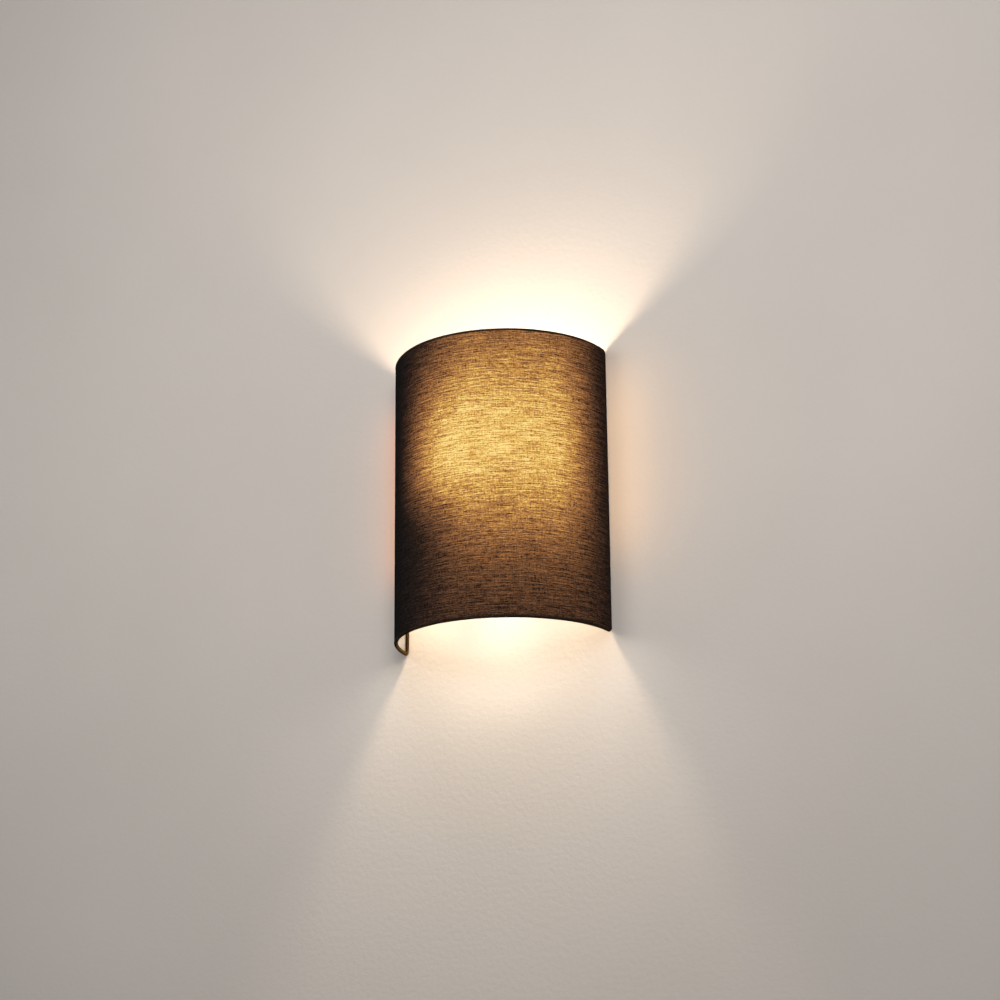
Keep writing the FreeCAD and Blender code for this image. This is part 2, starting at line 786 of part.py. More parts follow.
def holder_sleeve():
    """The outer sleeve: a spigot that screws into the cap, a fluted barrel and a rounded mouth."""
    spigot_out = holder_r - holder_wall + holder_thread_depth - holder_thread_gap
    bore = insert_r + holder_seam
    base = holder_cap_h + holder_seam
    mouth_low = holder_h - holder_lip
    edge_x = holder_r - holder_edge_r
    edge_z = holder_h - holder_edge_r
    edge_mid = corner((edge_x, edge_z), holder_edge_r, 45)
    profile = outline(
        on_rz(bore, insert_low + insert_skirt),
        on_rz(spigot_out, insert_low + insert_skirt),
        on_rz(spigot_out, base),
        on_rz(holder_r, base),
        on_rz(holder_r, edge_z),
        [on_rz(*edge_mid), on_rz(edge_x, holder_h)],
        on_rz(holder_mouth_r + holder_lip_chamfer, holder_h),
        on_rz(holder_mouth_r, holder_h - holder_lip_chamfer),
        on_rz(holder_mouth_r, mouth_low),
        on_rz(bore, mouth_low - holder_lip_chamfer),
    )
    sleeve = turned(profile, lamp_y)
    for k in range(grip_flutes):
        place = corner((0, lamp_y), holder_r + grip_flute_r - grip_flute_depth, 360 * k / grip_flutes)
        sleeve = sleeve.cut(Part.makeCylinder(grip_flute_r, grip_len, V(*place, grip_low)))
    return sleeve


def holder_insert():
    """The ceramic insert: a flanged disc with two lead holes and two screw holes."""
    flange_r = insert_r + insert_flange
    flange_top = insert_low + insert_skirt - insert_flange
    profile = outline(
        on_rz(0, insert_low),
        on_rz(flange_r, insert_low),
        on_rz(flange_r, flange_top),
        on_rz(insert_r, flange_top),
        on_rz(insert_r, insert_top - insert_chamfer),
        on_rz(insert_r - insert_chamfer, insert_top),
        on_rz(0, insert_top),
    )
    insert = turned(profile, lamp_y)
    for side in (-1, 1):
        start = V(side * lead_spread, lamp_y, insert_low)
        insert = insert.cut(Part.makeCylinder(lead_r + 2 * thread_gap, insert_top - insert_low, start))
        start = V(side * terminal_x, lamp_y, insert_low)
        insert = insert.cut(Part.makeCylinder(m3_r + thread_gap, insert_screw_depth, start))
    return insert


def holder_terminal_screws():
    """The two terminal screws in the underside of the insert."""
    solids = []
    for side in (-1, 1):
        seat = V(side * terminal_x, lamp_y, insert_low)
        solids.append(pan_screw(m3_head_r, m3_head_h, m3_r, terminal_screw_len, seat, V(0, 0, 1)))
    return Part.makeCompound(solids)


def holder_screw_shell():
    """The metal shell that the bulb's cap screws into, with a turned-in foot."""
    out_r = shell_r + shell_t
    foot_r = shell_r - shell_foot
    flare_low = shell_top - shell_flare_h
    profile = outline(
        on_rz(foot_r, insert_top),
        on_rz(out_r, insert_top),
        on_rz(out_r, flare_low),
        on_rz(out_r + shell_flare, shell_top),
        on_rz(shell_r + shell_flare, shell_top),
        on_rz(shell_r, flare_low),
        on_rz(shell_r, insert_top + shell_t),
        on_rz(foot_r, insert_top + shell_t),
    )
    return turned(profile, lamp_y)


def holder_contact_leaf():
    """The sprung centre contact: a foot on the insert and an arched tongue under the bulb."""
    crest = bulb_tip_z - contact_gap - contact_t
    middle = (insert_top + crest) / 2 + leaf_lift
    under = outline(
        V(leaf_foot_x, 0, insert_top),
        V(leaf_bend_x, 0, insert_top),
        [V(leaf_bend_x / 2, 0, middle), V(0, 0, crest)],
        [V(leaf_end_x / 2, 0, middle + leaf_lift), V(leaf_end_x, 0, insert_top + leaf_lift)],
        V(leaf_end_x, 0, insert_top + leaf_lift + contact_t),
        [V(leaf_end_x / 2, 0, middle + leaf_lift + contact_t), V(0, 0, crest + contact_t)],
        [V(leaf_bend_x / 2, 0, middle + contact_t), V(leaf_bend_x, 0, insert_top + contact_t)],
        V(leaf_foot_x, 0, insert_top + contact_t),
    )
    leaf = Part.Face(under).extrude(V(0, contact_w, 0))
    leaf.translate(V(0, lamp_y - contact_w / 2, 0))
    return leaf


# ---------------------------------------------------------------- leads
def sleeve_points():
    """The corner points of the sleeve's route, from inside the canopy to inside the nipple."""
    return [
        V(0, canopy_in_front + lead_sleeve_tail, lead_exit_z),
        V(0, lamp_y, lead_exit_z),
        V(0, lamp_y, holder_collar_h),
    ]


def lead_sleeve():
    """The woven sleeve round both leads, from the canopy to the holder."""
    path = route(sleeve_points(), [lead_bend_r])
    return swept(path, lead_sleeve_r).cut(swept(path, lead_bore_r))


def holder_lead(name, pole_x, side):
    """One lead: out of its pole, forward through the sleeve, and up into the insert."""
    x = side * lead_spread
    sleeve_y = canopy_in_front + lead_sleeve_tail
    points = [
        V(pole_x, wire_axis_y, -block_foot + lead_grip),
        V(pole_x, wire_axis_y, -block_foot - lead_drop),
        V(x, sleeve_y + lead_drop, lead_exit_z),
        V(x, lamp_y, lead_exit_z),
        V(x, lamp_y, insert_low + lead_insert_depth),
    ]
    radii = [lead_turn_r, lead_turn_r, lead_bend_r]
    path = route(points, radii)
    solid = swept(path, lead_r)
    report_lead(name, solid, path, radii)
    return solid


def live_lead():
    """The lead to the centre contact."""
    return holder_lead("live_lead", pole_places[1], -1)


def neutral_lead():
    """The lead to the screw shell."""
    return holder_lead("neutral_lead", pole_places[2], 1)


# ---------------------------------------------------------------- bulb
def bulb_cap():
    """The bulb's screw cap: a thin cup that narrows to its insulator."""
    low = bulb_tip_z + cap_bottom
    throat = cap_r - cap_taper
    profile = outline(
        on_rz(throat - cap_t, low),
        on_rz(throat, low),
        on_rz(cap_r, low + cap_taper),
        on_rz(cap_r, cap_top_z - cap_rim_h),
        on_rz(cap_r + cap_rim, cap_top_z),
        on_rz(cap_r + cap_rim - cap_t, cap_top_z),
        on_rz(cap_r - cap_t, cap_top_z - cap_rim_h),
        on_rz(cap_r - cap_t, low + cap_taper),
    )
    return turned(profile, lamp_y)


def bulb_cap_insulator():
    """The dark cone between the cap and its centre contact."""
    low = bulb_tip_z + contact_h
    top = bulb_tip_z + cap_bottom
    wide = cap_r - cap_taper
    narrow = contact_r + insulator_step
    middle = ((narrow + wide + insulator_bulge) / 2, (low + top - insulator_bulge) / 2)
    profile = outline(
        on_rz(0, low),
        on_rz(narrow, low),
        [on_rz(*middle), on_rz(wide, top)],
        on_rz(0, top),
    )
    return turned(profile, lamp_y)


def bulb_centre_contact():
    """The domed contact at the bulb's foot."""
    top = bulb_tip_z + contact_h
    dome_r = (contact_r**2 + contact_h**2) / (2 * contact_h)
    half = math.asin(contact_r / dome_r) / 2
    profile = outline(
        on_rz(0, bulb_tip_z),
        [on_rz(dome_r * math.sin(half), bulb_tip_z + dome_r * (1 - math.cos(half))), on_rz(contact_r, top)],
        on_rz(0, top),
    )
    return turned(profile, lamp_y)


def bulb_housing():
    """The bulb's white plastic body: a plug in the cap, a slim neck, and a long flare to the globe."""
    plug_r = cap_r - cap_t - glue_gap
    plug_low = cap_top_z - plug_h
    seat = cap_top_z + glue_gap
    neck_top = cap_top_z + bulb_neck_h
    flare_r = (bulb_neck_r + globe_low_r) / 2 + flare_bulge
    flare_z = (neck_top + globe_low) / 2
    rim_r = board_r + board_gap
    profile = outline(
        on_rz(plug_r, plug_low),
        on_rz(plug_r, cap_top_z - plug_lead),
        on_rz(plug_r - plug_chamfer, seat),
        on_rz(bulb_neck_r, seat),
        on_rz(bulb_neck_r + plug_chamfer, neck_top),
        [on_rz(flare_r, flare_z), on_rz(globe_low_r, globe_low)],
        on_rz(rim_r, globe_low),
        on_rz(rim_r, board_low),
        on_rz(board_r - board_ledge, board_low),
        [on_rz(flare_r - flare_bulge, flare_z), on_rz(plug_r - housing_t, neck_top)],
        on_rz(plug_r - housing_t, plug_low),
    )
    return turned(profile, lamp_y)


def bulb_globe():
    """The opal dome."""
    inner_r = globe_r - globe_t
    inner_low_r = math.sqrt(inner_r**2 - globe_drop**2)
    foot_angle = -math.degrees(math.asin(globe_drop / globe_r))
    side_angle = (foot_angle + 90) / 2
    out_mid = corner((0, globe_z), globe_r, side_angle)
    in_mid = corner((0, globe_z), inner_r, side_angle)
    profile = outline(
        on_rz(globe_low_r, globe_low),
        [on_rz(out_mid[0], out_mid[1]), on_rz(0, bulb_top_z)],
        on_rz(0, bulb_top_z - globe_t),
        [on_rz(in_mid[0], in_mid[1]), on_rz(inner_low_r, globe_low)],
    )
    return turned(profile, lamp_y)


def bulb_led_board():
    """The round metal board that carries the light chips."""
    return Part.makeCylinder(board_r, board_t, V(0, lamp_y, board_low))


def bulb_leds():
    """The ring of light chips on the board."""
    solids = []
    top = board_low + board_t
    half = led_size / 2
    for k in range(led_count):
        chip = block(led_ring_r - half, led_ring_r + half, -half, half, top, top + led_t)
        chip.rotate(V(0, 0, 0), V(0, 0, 1), 360 * k / led_count)
        chip.translate(V(0, lamp_y, 0))
        solids.append(chip)
    return Part.makeCompound(solids)


def bulb_driver_board():
    """The upright driver board under the light board, with its tall capacitor and coil."""
    front = lamp_y - driver_t / 2
    rear = lamp_y + driver_t / 2
    tail_top = board_low - driver_h + driver_tail_h
    tail_half = driver_tail_w / 2
    board = block(-driver_w / 2, driver_w / 2, front, rear, tail_top, board_low)
    tail = block(-tail_half, tail_half, front, rear, board_low - driver_h, tail_top)
    capacitor_low = board_low - capacitor_drop
    capacitor_foot = V(capacitor_x, rear + capacitor_r, capacitor_low)
    capacitor = Part.makeCylinder(capacitor_r, capacitor_h, capacitor_foot)
    leg_ends = (capacitor_x - capacitor_r / 2, capacitor_x + capacitor_r / 2)
    legs = block(*leg_ends, rear, rear + capacitor_r, capacitor_low, capacitor_low + capacitor_h)
    coil = Part.makeCylinder(coil_r, coil_h, V(coil_x, front, board_low - coil_drop), V(0, -1, 0))
    return board.fuse(tail).fuse(legs).fuse(capacitor).fuse(coil).removeSplitter()


# ---------------------------------------------------------------- shade
def half_turn(wire, end_angle):
    """Sweeps a profile in the x-z plane round the front of the shade, short of the wall by an angle."""
    sweep = 180 - 2 * end_angle
    face = Part.Face(wire)
    face.rotate(V(0, 0, 0), V(0, 0, 1), -end_angle - sweep)
    return face.revolve(V(0, 0, 0), V(0, 0, 1), sweep)


def ring_bar(radius, z, rise):
    """A half ring as a round bar whose two ends bend into line with the uprights, up or down."""
    circle = Part.Wire(Part.makeCircle(radius, V(wire_ring_r, 0, z), V(0, 1, 0)))
    end_x, end_y = corner((0, 0), wire_ring_r, -ring_end_angle)
    outward = V(end_x, end_y, 0).normalize()
    along = V(-outward.y, outward.x, 0)
    end = V(end_x, end_y, z)
    disc = Part.Face(Part.Wire(Part.makeCircle(radius, end, along)))
    elbow = disc.revolve(end + V(0, 0, rise * frame_corner_r), outward * rise, 90)
    return half_turn(circle, ring_end_angle).multiFuse([elbow, mirrored(elbow)])


def upright_bar(radius):
    """The straight bar between the two rings at the right rear edge."""
    low = wire_low_z + frame_corner_r
    high = wire_high_z - frame_corner_r
    return Part.makeCylinder(radius, high - low, V(upright_x, upright_y, low))


def frame_envelope(radius):
    """The whole frame as one bar of this radius."""
    upright = upright_bar(radius)
    return ring_bar(radius, wire_low_z, 1).multiFuse([ring_bar(radius, wire_high_z, -1), upright, mirrored(upright)])


def skin(inner_r, outer_r, inset):
    """A half-round sheet between the frame's rings and uprights, held back from them by an inset."""
    low = wire_low_z + inset
    high = wire_high_z - inset
    section = outline(on_rz(inner_r, low), on_rz(outer_r, low), on_rz(outer_r, high), on_rz(inner_r, high))
    return half_turn(section, upright_angle + math.degrees(inset / inner_r))


def shade_fabric():
    """The outer cloth, stretched flat over the front and rolled round the whole wire frame."""
    cloth = frame_envelope(hem_r).fuse(skin(fabric_in_r, shade_radius, hem_overlap))
    cloth = cloth.cut(frame_envelope(wire_d / 2 + glue_gap))
    half_t = carrier_t / 2 + glue_gap
    half_h = carrier_h / 2 + cloth_notch_gap
    notch = block(-hem_r - cut_over, 0, -half_t, half_t, -half_h, half_h)
    notch.translate(V(upright_x, upright_y, 0))
    return cloth.cut(notch).cut(mirrored(notch))


def shade_liner():
    """The stiff white sheet glued behind the cloth, between the rolled edges, its corners rounded."""
    inset = math.sqrt(hem_r**2 - (liner_in_r - wire_ring_r)**2) + liner_edge_gap
    sheet = skin(liner_in_r, liner_out_r, inset)
    corners = [e for e in sheet.Edges if e.Length < 2 * liner_t]
    return sheet.makeFillet(frame_corner_r - inset, corners)


def top_ring_wire():
    """The frame's upper half ring."""
    return ring_bar(wire_d / 2, wire_high_z, -1)


def bottom_ring_wire():
    """The frame's lower half ring."""
    return ring_bar(wire_d / 2, wire_low_z, 1)


def right_upright_wire():
    """The straight wire at the right rear edge, welded between the rings' bent ends."""
    return upright_bar(wire_d / 2)


def right_carrier():
    """The bent strip from the right upright to the canopy, with its slot open downward."""
    out_r = carrier_bend_r + carrier_t
    front = upright_y - carrier_t / 2
    back = upright_y + carrier_t / 2
    nose_y = -side_screw_depth - carrier_nose
    bend = (carrier_in_x + out_r, back - out_r)
    out_mid = corner(bend, out_r, 135)
    in_mid = corner(bend, carrier_bend_r, 135)
    plan = outline(
        V(upright_x, back, 0),
        V(bend[0], back, 0),
        [V(out_mid[0], out_mid[1], 0), V(carrier_in_x, bend[1], 0)],
        V(carrier_in_x, nose_y, 0),
        V(carrier_out_x, nose_y, 0),
        V(carrier_out_x, bend[1], 0),
        [V(in_mid[0], in_mid[1], 0), V(bend[0], front, 0)],
        V(upright_x, front, 0),
    )
    strip = Part.Face(plan).extrude(V(0, 0, carrier_h))
    strip.translate(V(0, 0, -carrier_h / 2))
    nose = [e for e in edges_along(strip, V(1, 0, 0)) if abs(e.CenterOfMass.y - nose_y) < 1e-6]
    strip = strip.makeFillet(carrier_nose_r, nose)
    slot_end = Part.makeCylinder(slot_r, carrier_t, V(carrier_in_x, -side_screw_depth, 0), V(1, 0, 0))
    slot_sides = (-side_screw_depth - slot_r, -side_screw_depth + slot_r)
    slot = block(carrier_in_x, carrier_out_x, *slot_sides, -carrier_h, 0)
    strip = strip.cut(slot_end).cut(slot)
    seat = Part.makeCylinder(wire_d / 2 + glue_gap, carrier_h, V(upright_x, upright_y, -carrier_h / 2))
    trimmed = strip.cut(seat)
    return max(trimmed.Solids, key=lambda solid: solid.Volume)


# ---------------------------------------------------------------- side screws
def right_thumb_screw():
    """The knurled side screw: a fluted knob, and a shank that reaches through the strap's ear."""
    knob = Part.makeCylinder(knob_r, knob_len, V(knob_in_x, -side_screw_depth, 0), V(1, 0, 0))
    outer = edges_on(knob, V(1, 0, 0), knob_in_x + knob_len)
    knob = knob.makeChamfer(knob_chamfer, outer)
    for k in range(knob_flutes):
        place = corner((-side_screw_depth, 0), knob_r + flute_r - flute_inset, 360 * k / knob_flutes)
        flute = Part.makeCylinder(flute_r, knob_len, V(knob_in_x + knob_plain, *place), V(1, 0, 0))
        knob = knob.cut(flute)
    tip_x = ear_in_x - side_screw_reach
    shank = Part.makeCylinder(m4_r, knob_in_x - tip_x, V(tip_x, -side_screw_depth, 0), V(1, 0, 0))
    tip = edges_on(shank, V(1, 0, 0), tip_x)
    return knob.fuse(shank.makeChamfer(shank_chamfer, tip))


def right_screw_washer():
    """The washer between the carrier and the knob."""
    base = V(washer_in_x, -side_screw_depth, 0)
    washer = Part.makeCylinder(washer_r, washer_t, base, V(1, 0, 0))
    return washer.cut(Part.makeCylinder(m4_r + side_hole_gap, washer_t, base, V(1, 0, 0)))


# ---------------------------------------------------------------- build
PARTS = {
    "mounting_strap": mounting_strap,
    "cable_bush": cable_bush,
    "terminal_block": terminal_block,
    "terminal_sleeves": terminal_sleeves,
    "terminal_screws": terminal_screws,
    "terminal_block_screw": terminal_block_screw,
    "earth_lug": earth_lug,
    "earth_screw": earth_screw,
    "earth_lead": earth_lead,
    "canopy": canopy,
    "lead_bush": lead_bush,
    "holder_bracket": holder_bracket,
    "bracket_screws": bracket_screws,
    "bracket_nuts": bracket_nuts,
    "hollow_nipple": hollow_nipple,
    "nipple_washer": nipple_washer,
    "nipple_nut": nipple_nut,
    "holder_cap": holder_cap,
    "holder_sleeve": holder_sleeve,
    "holder_insert": holder_insert,
    "holder_terminal_screws": holder_terminal_screws,
    "holder_screw_shell": holder_screw_shell,
    "holder_contact_leaf": holder_contact_leaf,
    "lead_sleeve": lead_sleeve,
    "live_lead": live_lead,
    "neutral_lead": neutral_lead,
    "bulb_cap": bulb_cap,
    "bulb_cap_insulator": bulb_cap_insulator,
    "bulb_centre_contact": bulb_centre_contact,
    "bulb_housing": bulb_housing,
    "bulb_globe": bulb_globe,
    "bulb_led_board": bulb_led_board,
    "bulb_leds": bulb_leds,
    "bulb_driver_board": bulb_driver_board,
    "shade_fabric": shade_fabric,
    "shade_liner": shade_liner,
    "top_ring_wire": top_ring_wire,
    "bottom_ring_wire": bottom_ring_wire,
}

# Pieces with a mirror image on the left.
PAIRED_PARTS = {
    "upright_wire": right_upright_wire,
    "carrier": right_carrier,
    "thumb_screw": right_thumb_screw,
    "screw_washer": right_screw_washer,
}


def main():
    os.makedirs("parts", exist_ok=True)
    shapes = {name: make() for name, make in PARTS.items()}
    for name, make in PAIRED_PARTS.items():
        shapes["right_" + name] = make()
        shapes["left_" + name] = mirrored(make())
    for name, shape in shapes.items():
        shape.exportStep(f"parts/{name}.step")
        solids = shape.Solids
        volume = sum(solid.Volume for solid in solids)
        print(f"{name}: {len(solids)} solid(s), {volume:.1f} mm3, valid {shape.isValid()}")


main()
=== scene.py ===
import math

import bpy
import numpy as np
from mathutils import Matrix, Vector


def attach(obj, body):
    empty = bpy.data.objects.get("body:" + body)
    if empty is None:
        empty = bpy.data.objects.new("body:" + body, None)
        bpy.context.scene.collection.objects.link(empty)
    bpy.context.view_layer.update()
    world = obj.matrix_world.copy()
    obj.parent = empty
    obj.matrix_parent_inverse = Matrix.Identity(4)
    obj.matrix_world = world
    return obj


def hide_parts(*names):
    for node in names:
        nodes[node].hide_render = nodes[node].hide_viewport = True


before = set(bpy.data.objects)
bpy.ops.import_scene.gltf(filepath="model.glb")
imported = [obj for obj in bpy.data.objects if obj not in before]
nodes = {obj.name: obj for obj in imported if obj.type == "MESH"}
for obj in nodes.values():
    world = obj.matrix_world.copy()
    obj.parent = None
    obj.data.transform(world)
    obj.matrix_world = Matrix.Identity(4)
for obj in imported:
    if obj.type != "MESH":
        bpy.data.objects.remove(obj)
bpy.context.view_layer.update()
scene = bpy.context.scene

MM = 0.001

# ---------------------------------------------------------------- sizes that the scene's pieces share with the solids
SHADE_R = 115.0         # outer skin of the cloth
FABRIC_T = 0.5
HEM_R = 2.0             # the hem's roll, round the wire
WIRE_RING_R = 113.2     # middle line of the ring wires
WIRE_LOW_Z = -93.0
WIRE_HIGH_Z = 203.0
UPRIGHT_Y = -2.5
CORNER_R = 3.0          # bend from a ring into an upright
RING_HALF_TURN = math.acos(-UPRIGHT_Y / math.hypot(WIRE_RING_R, CORNER_R)) - math.atan2(CORNER_R, WIRE_RING_R)
UPRIGHT_X = WIRE_RING_R * math.sin(RING_HALF_TURN) + CORNER_R * math.cos(RING_HALF_TURN)
LAMP_Y = -60.0          # the bulb's axis
BULB_Z = 102.0          # middle of its globe
GLOBE_R = 30.0
THREAD_PITCH = 3.62     # of the bulb's cap and the holder's shell


# ---------------------------------------------------------------- shader helpers
class Shader:
    """A Principled material and short calls for the nodes that feed it."""

    def __init__(self, name):
        self.material = bpy.data.materials.new(name)
        self.material.use_nodes = True
        self.tree = self.material.node_tree
        self.main = self.tree.nodes["Principled BSDF"]
        self.coords = self.tree.nodes.new("ShaderNodeTexCoord").outputs["Object"]

    def feed(self, socket, value):
        """Links a socket to another one, or sets its own value."""
        if isinstance(value, bpy.types.NodeSocket):
            self.tree.links.new(value, socket)
        else:
            socket.default_value = value

    def node(self, kind, **inputs):
        made = self.tree.nodes.new(kind)
        for key, value in inputs.items():
            self.feed(made.inputs[key.replace("_", " ")], value)
        return made

    def set(self, **inputs):
        for key, value in inputs.items():
            self.feed(self.main.inputs[key.replace("_", " ")], value)

    def math(self, operation, a, b=0.0):
        made = self.tree.nodes.new("ShaderNodeMath")
        made.operation = operation
        self.feed(made.inputs[0], a)
        self.feed(made.inputs[1], b)
        return made.outputs[0]

    def plus(self, a, b):
        return self.math("ADD", a, b)

    def times(self, a, b):
        return self.math("MULTIPLY", a, b)

    def axes(self, vector):
        return self.node("ShaderNodeSeparateXYZ", Vector=vector).outputs

    def scaled(self, x, y=None, z=None):
        """The object's coordinates divided by three lengths, or by the same one on every axis."""
        made = self.node("ShaderNodeMapping", Vector=self.coords)
        made.inputs["Scale"].default_value = [1 / (length * MM) for length in (x, y or x, z or x)]
        return made.outputs[0]

    def noise(self, vector, detail=2.0, roughness=0.5):
        made = self.node("ShaderNodeTexNoise", Vector=vector, Scale=1.0, Detail=detail, Roughness=roughness)
        return made.outputs[0]

    def spread(self, value, low, high, to_low=0.0, to_high=1.0):
        """Maps low..high to to_low..to_high, clamped."""
        made = self.node("ShaderNodeMapRange", Value=value, From_Min=low, From_Max=high, To_Min=to_low, To_Max=to_high)
        return made.outputs[0]

    def ramp(self, value, stops):
        made = self.node("ShaderNodeValToRGB", Fac=value)
        elements = made.color_ramp.elements
        while len(elements) < len(stops):
            elements.new(0.5)
        for element, (place, colour) in zip(elements, stops):
            element.position = place
            element.color = (*colour, 1.0)
        return made.outputs[0]

    def bump(self, height, distance, strength=1.0):
        made = self.node("ShaderNodeBump", Height=height, Distance=distance * MM, Strength=strength)
        self.feed(self.main.inputs["Normal"], made.outputs[0])


def toned(colour, factor):
    """A colour made darker or paler."""
    return tuple(min(1.0, c * factor) for c in colour)


def plastic(name, colour, roughness, grain=0.9, depth=0.03, spread=0.10):
    """Moulded plastic: a fine spark-eroded grain, faint flow marks and handled, shinier patches."""
    s = Shader(name)
    grain_height = s.noise(s.scaled(grain), detail=3.0)
    flow = s.noise(s.scaled(9, 9, 22), detail=3.0, roughness=0.6)
    s.set(Base_Color=s.ramp(flow, [(0.3, toned(colour, 1 - spread)), (0.7, toned(colour, 1 + spread / 2))]),
          Roughness=s.spread(flow, 0.3, 0.7, roughness - 0.06, roughness + 0.08))
    s.bump(grain_height, depth)
    return s.material


def metal(name, colour, roughness, streak=(0.5, 14.0, 0.5), depth=0.012):
    """Plated or drawn metal: streaks of the drawing direction, cloudy dulling and fine scratches."""
    s = Shader(name)
    streaks = s.noise(s.scaled(*streak), detail=4.0, roughness=0.6)
    cloud = s.noise(s.scaled(7), detail=4.0, roughness=0.65)
    scratch = s.noise(s.scaled(0.15, 6.0, 2.2), detail=1.0)
    s.set(Metallic=1.0,
          Base_Color=s.ramp(cloud, [(0.3, toned(colour, 0.78)), (0.6, colour), (0.8, toned(colour, 1.06))]),
          Roughness=s.plus(s.spread(cloud, 0.3, 0.75, roughness + 0.12, roughness - 0.04),
                           s.spread(scratch, 0.55, 0.75, 0.0, 0.12)))
    s.bump(streaks, depth)
    return s.material


def galvanised(name, colour):
    """Zinc plated sheet: small crystals of slightly different tone and gloss."""
    s = Shader(name)
    cells = s.node("ShaderNodeTexVoronoi", Vector=s.scaled(2.6), Scale=1.0)
    tone = s.node("ShaderNodeSeparateColor", Color=cells.outputs["Color"]).outputs[0]
    cloud = s.noise(s.scaled(11), detail=4.0)
    mixed = s.plus(s.times(tone, 0.45), s.times(cloud, 0.55))
    s.set(Metallic=1.0,
          Base_Color=s.ramp(mixed, [(0.2, toned(colour, 0.78)), (0.75, toned(colour, 1.08))]),
          Roughness=s.spread(mixed, 0.2, 0.8, 0.46, 0.30))
    s.bump(s.noise(s.scaled(0.4)), 0.012)
    return s.material


def powder_coat(name, colour):
    """Powder coated steel: the orange-peel skin of the coat, with small changes of shade and gloss."""
    s = Shader(name)
    peel = s.noise(s.scaled(1.5), roughness=0.45)
    fine = s.noise(s.scaled(0.35), detail=1.0)
    cloud = s.noise(s.scaled(24), detail=3.0)
    s.set(Base_Color=s.ramp(cloud, [(0.3, toned(colour, 0.95)), (0.7, toned(colour, 1.02))]),
          Roughness=s.spread(peel, 0.3, 0.7, 0.36, 0.50), Coat_Weight=0.15, Coat_Roughness=0.25)
    s.bump(s.plus(peel, s.times(fine, 0.25)), 0.045)
    return s.material


def ceramic(name, colour):
    """Unglazed ceramic: pale, slightly speckled and dusty, with a matt tooth."""
    s = Shader(name)
    speck = s.noise(s.scaled(0.5), detail=4.0, roughness=0.8)
    cloud = s.noise(s.scaled(6), detail=3.0)
    tone = s.plus(s.times(speck, 0.4), s.times(cloud, 0.6))
    s.set(Base_Color=s.ramp(tone, [(0.3, toned(colour, 0.86)), (0.65, colour)]),
          Roughness=s.spread(speck, 0.3, 0.7, 0.55, 0.8))
    s.bump(speck, 0.05)
    return s.material


def insulation(name, colour, stripe=None):
    """The plastic skin of a lead, with a second colour in stripes where it has one."""
    s = Shader(name)
    cloud = s.noise(s.scaled(3))
    if stripe is None:
        tone = s.ramp(cloud, [(0.3, toned(colour, 0.85)), (0.7, toned(colour, 1.1))])
    else:
        wave = s.node("ShaderNodeTexWave", Vector=s.scaled(1), Scale=0.32, Distortion=0.2)
        tone = s.ramp(wave.outputs["Fac"], [(0.45, colour), (0.55, stripe)])
    s.set(Base_Color=tone, Roughness=s.spread(cloud, 0.3, 0.7, 0.35, 0.5))
    s.bump(s.noise(s.scaled(0.6)), 0.01)
    return s.material


def braid(name, colour):
    """Woven glass sleeve: two sets of crossing yarns over and under each other."""
    s = Shader(name)
    x, y, z = s.axes(s.scaled(1))
    along = s.math("SUBTRACT", z, y)
    across = s.times(x, 1.3)
    one = s.math("SINE", s.times(s.plus(along, across), 4.2))
    two = s.math("SINE", s.times(s.math("SUBTRACT", along, across), 4.2))
    over = s.times(one, two)
    fray = s.noise(s.scaled(0.3), detail=3.0)
    s.set(Base_Color=s.ramp(s.spread(over, -1.0, 1.0), [(0.2, toned(colour, 0.72)), (0.8, colour)]),
          Roughness=s.spread(fray, 0.3, 0.7, 0.7, 0.9), Sheen_Weight=0.2)
    s.bump(s.plus(over, s.times(fray, 0.5)), 0.12)
    return s.material


# ---------------------------------------------------------------- cloth, liner and opal dome
WEFT_PITCH, WARP_PITCH = 0.62, 0.58
CLOTH_TONES = [(0.25, (0.0030, 0.0028, 0.0027)), (0.5, (0.0060, 0.0054, 0.0051)), (0.8, (0.016, 0.014, 0.013))]
HEM_TONES = [(0.25, (0.014, 0.010, 0.007)), (0.5, (0.026, 0.018, 0.012)), (0.8, (0.050, 0.035, 0.023))]
# HEM_GLOW: painted glow on the hem's inner side, standing for the bulb's light on it.
HEM_GLOW = [(0.0, (0.0, 0.0, 0.0)), (1.0, (0.125, 0.056, 0.012))]

# Colour of the glow painted on the cloth for the light that passes it, from where least comes through to where most
# does.
GLOW_COLOURS = [
    (0.000, (0.003, 0.003, 0.003)),
    (0.030, (0.022, 0.010, 0.006)),
    (0.090, (0.085, 0.036, 0.016)),
    (0.200, (0.195, 0.078, 0.028)),
    (0.340, (0.335, 0.138, 0.043)),
    (0.500, (0.510, 0.235, 0.066)),
    (0.640, (0.665, 0.335, 0.075)),
    (0.780, (0.800, 0.472, 0.103)),
    (0.900, (0.930, 0.622, 0.172)),
    (1.000, (1.000, 0.740, 0.265)),
]

# Soft patches of painted light on the cloth, fixed where the photograph shows them: strength; middle and half width in
# degrees round the shade, and how squarely the light falls off there; the middle's height, and the reach above
# and below it.
GLOW_PATCHES = [
    (0.79, 29.5, 37.0, 4.0, 86.0, 108.0, 92.0),     # the broad warm field
    (0.57, -11.5, 17.0, 2.0, 73.0, 80.0, 40.0),     # its brightest place
    (0.064, 30.0, 54.0, 4.0, 60.0, 600.0, 600.0),   # the faint glow around them
]


def cloth_position(s):
    """Two sockets: millimetres round the shade from its middle, and the height in millimetres."""
    x, y, z = s.axes(s.coords)
    angle = s.math("ARCTAN2", x, s.times(y, -1.0))
    return s.times(angle, SHADE_R), s.times(z, 1 / MM)


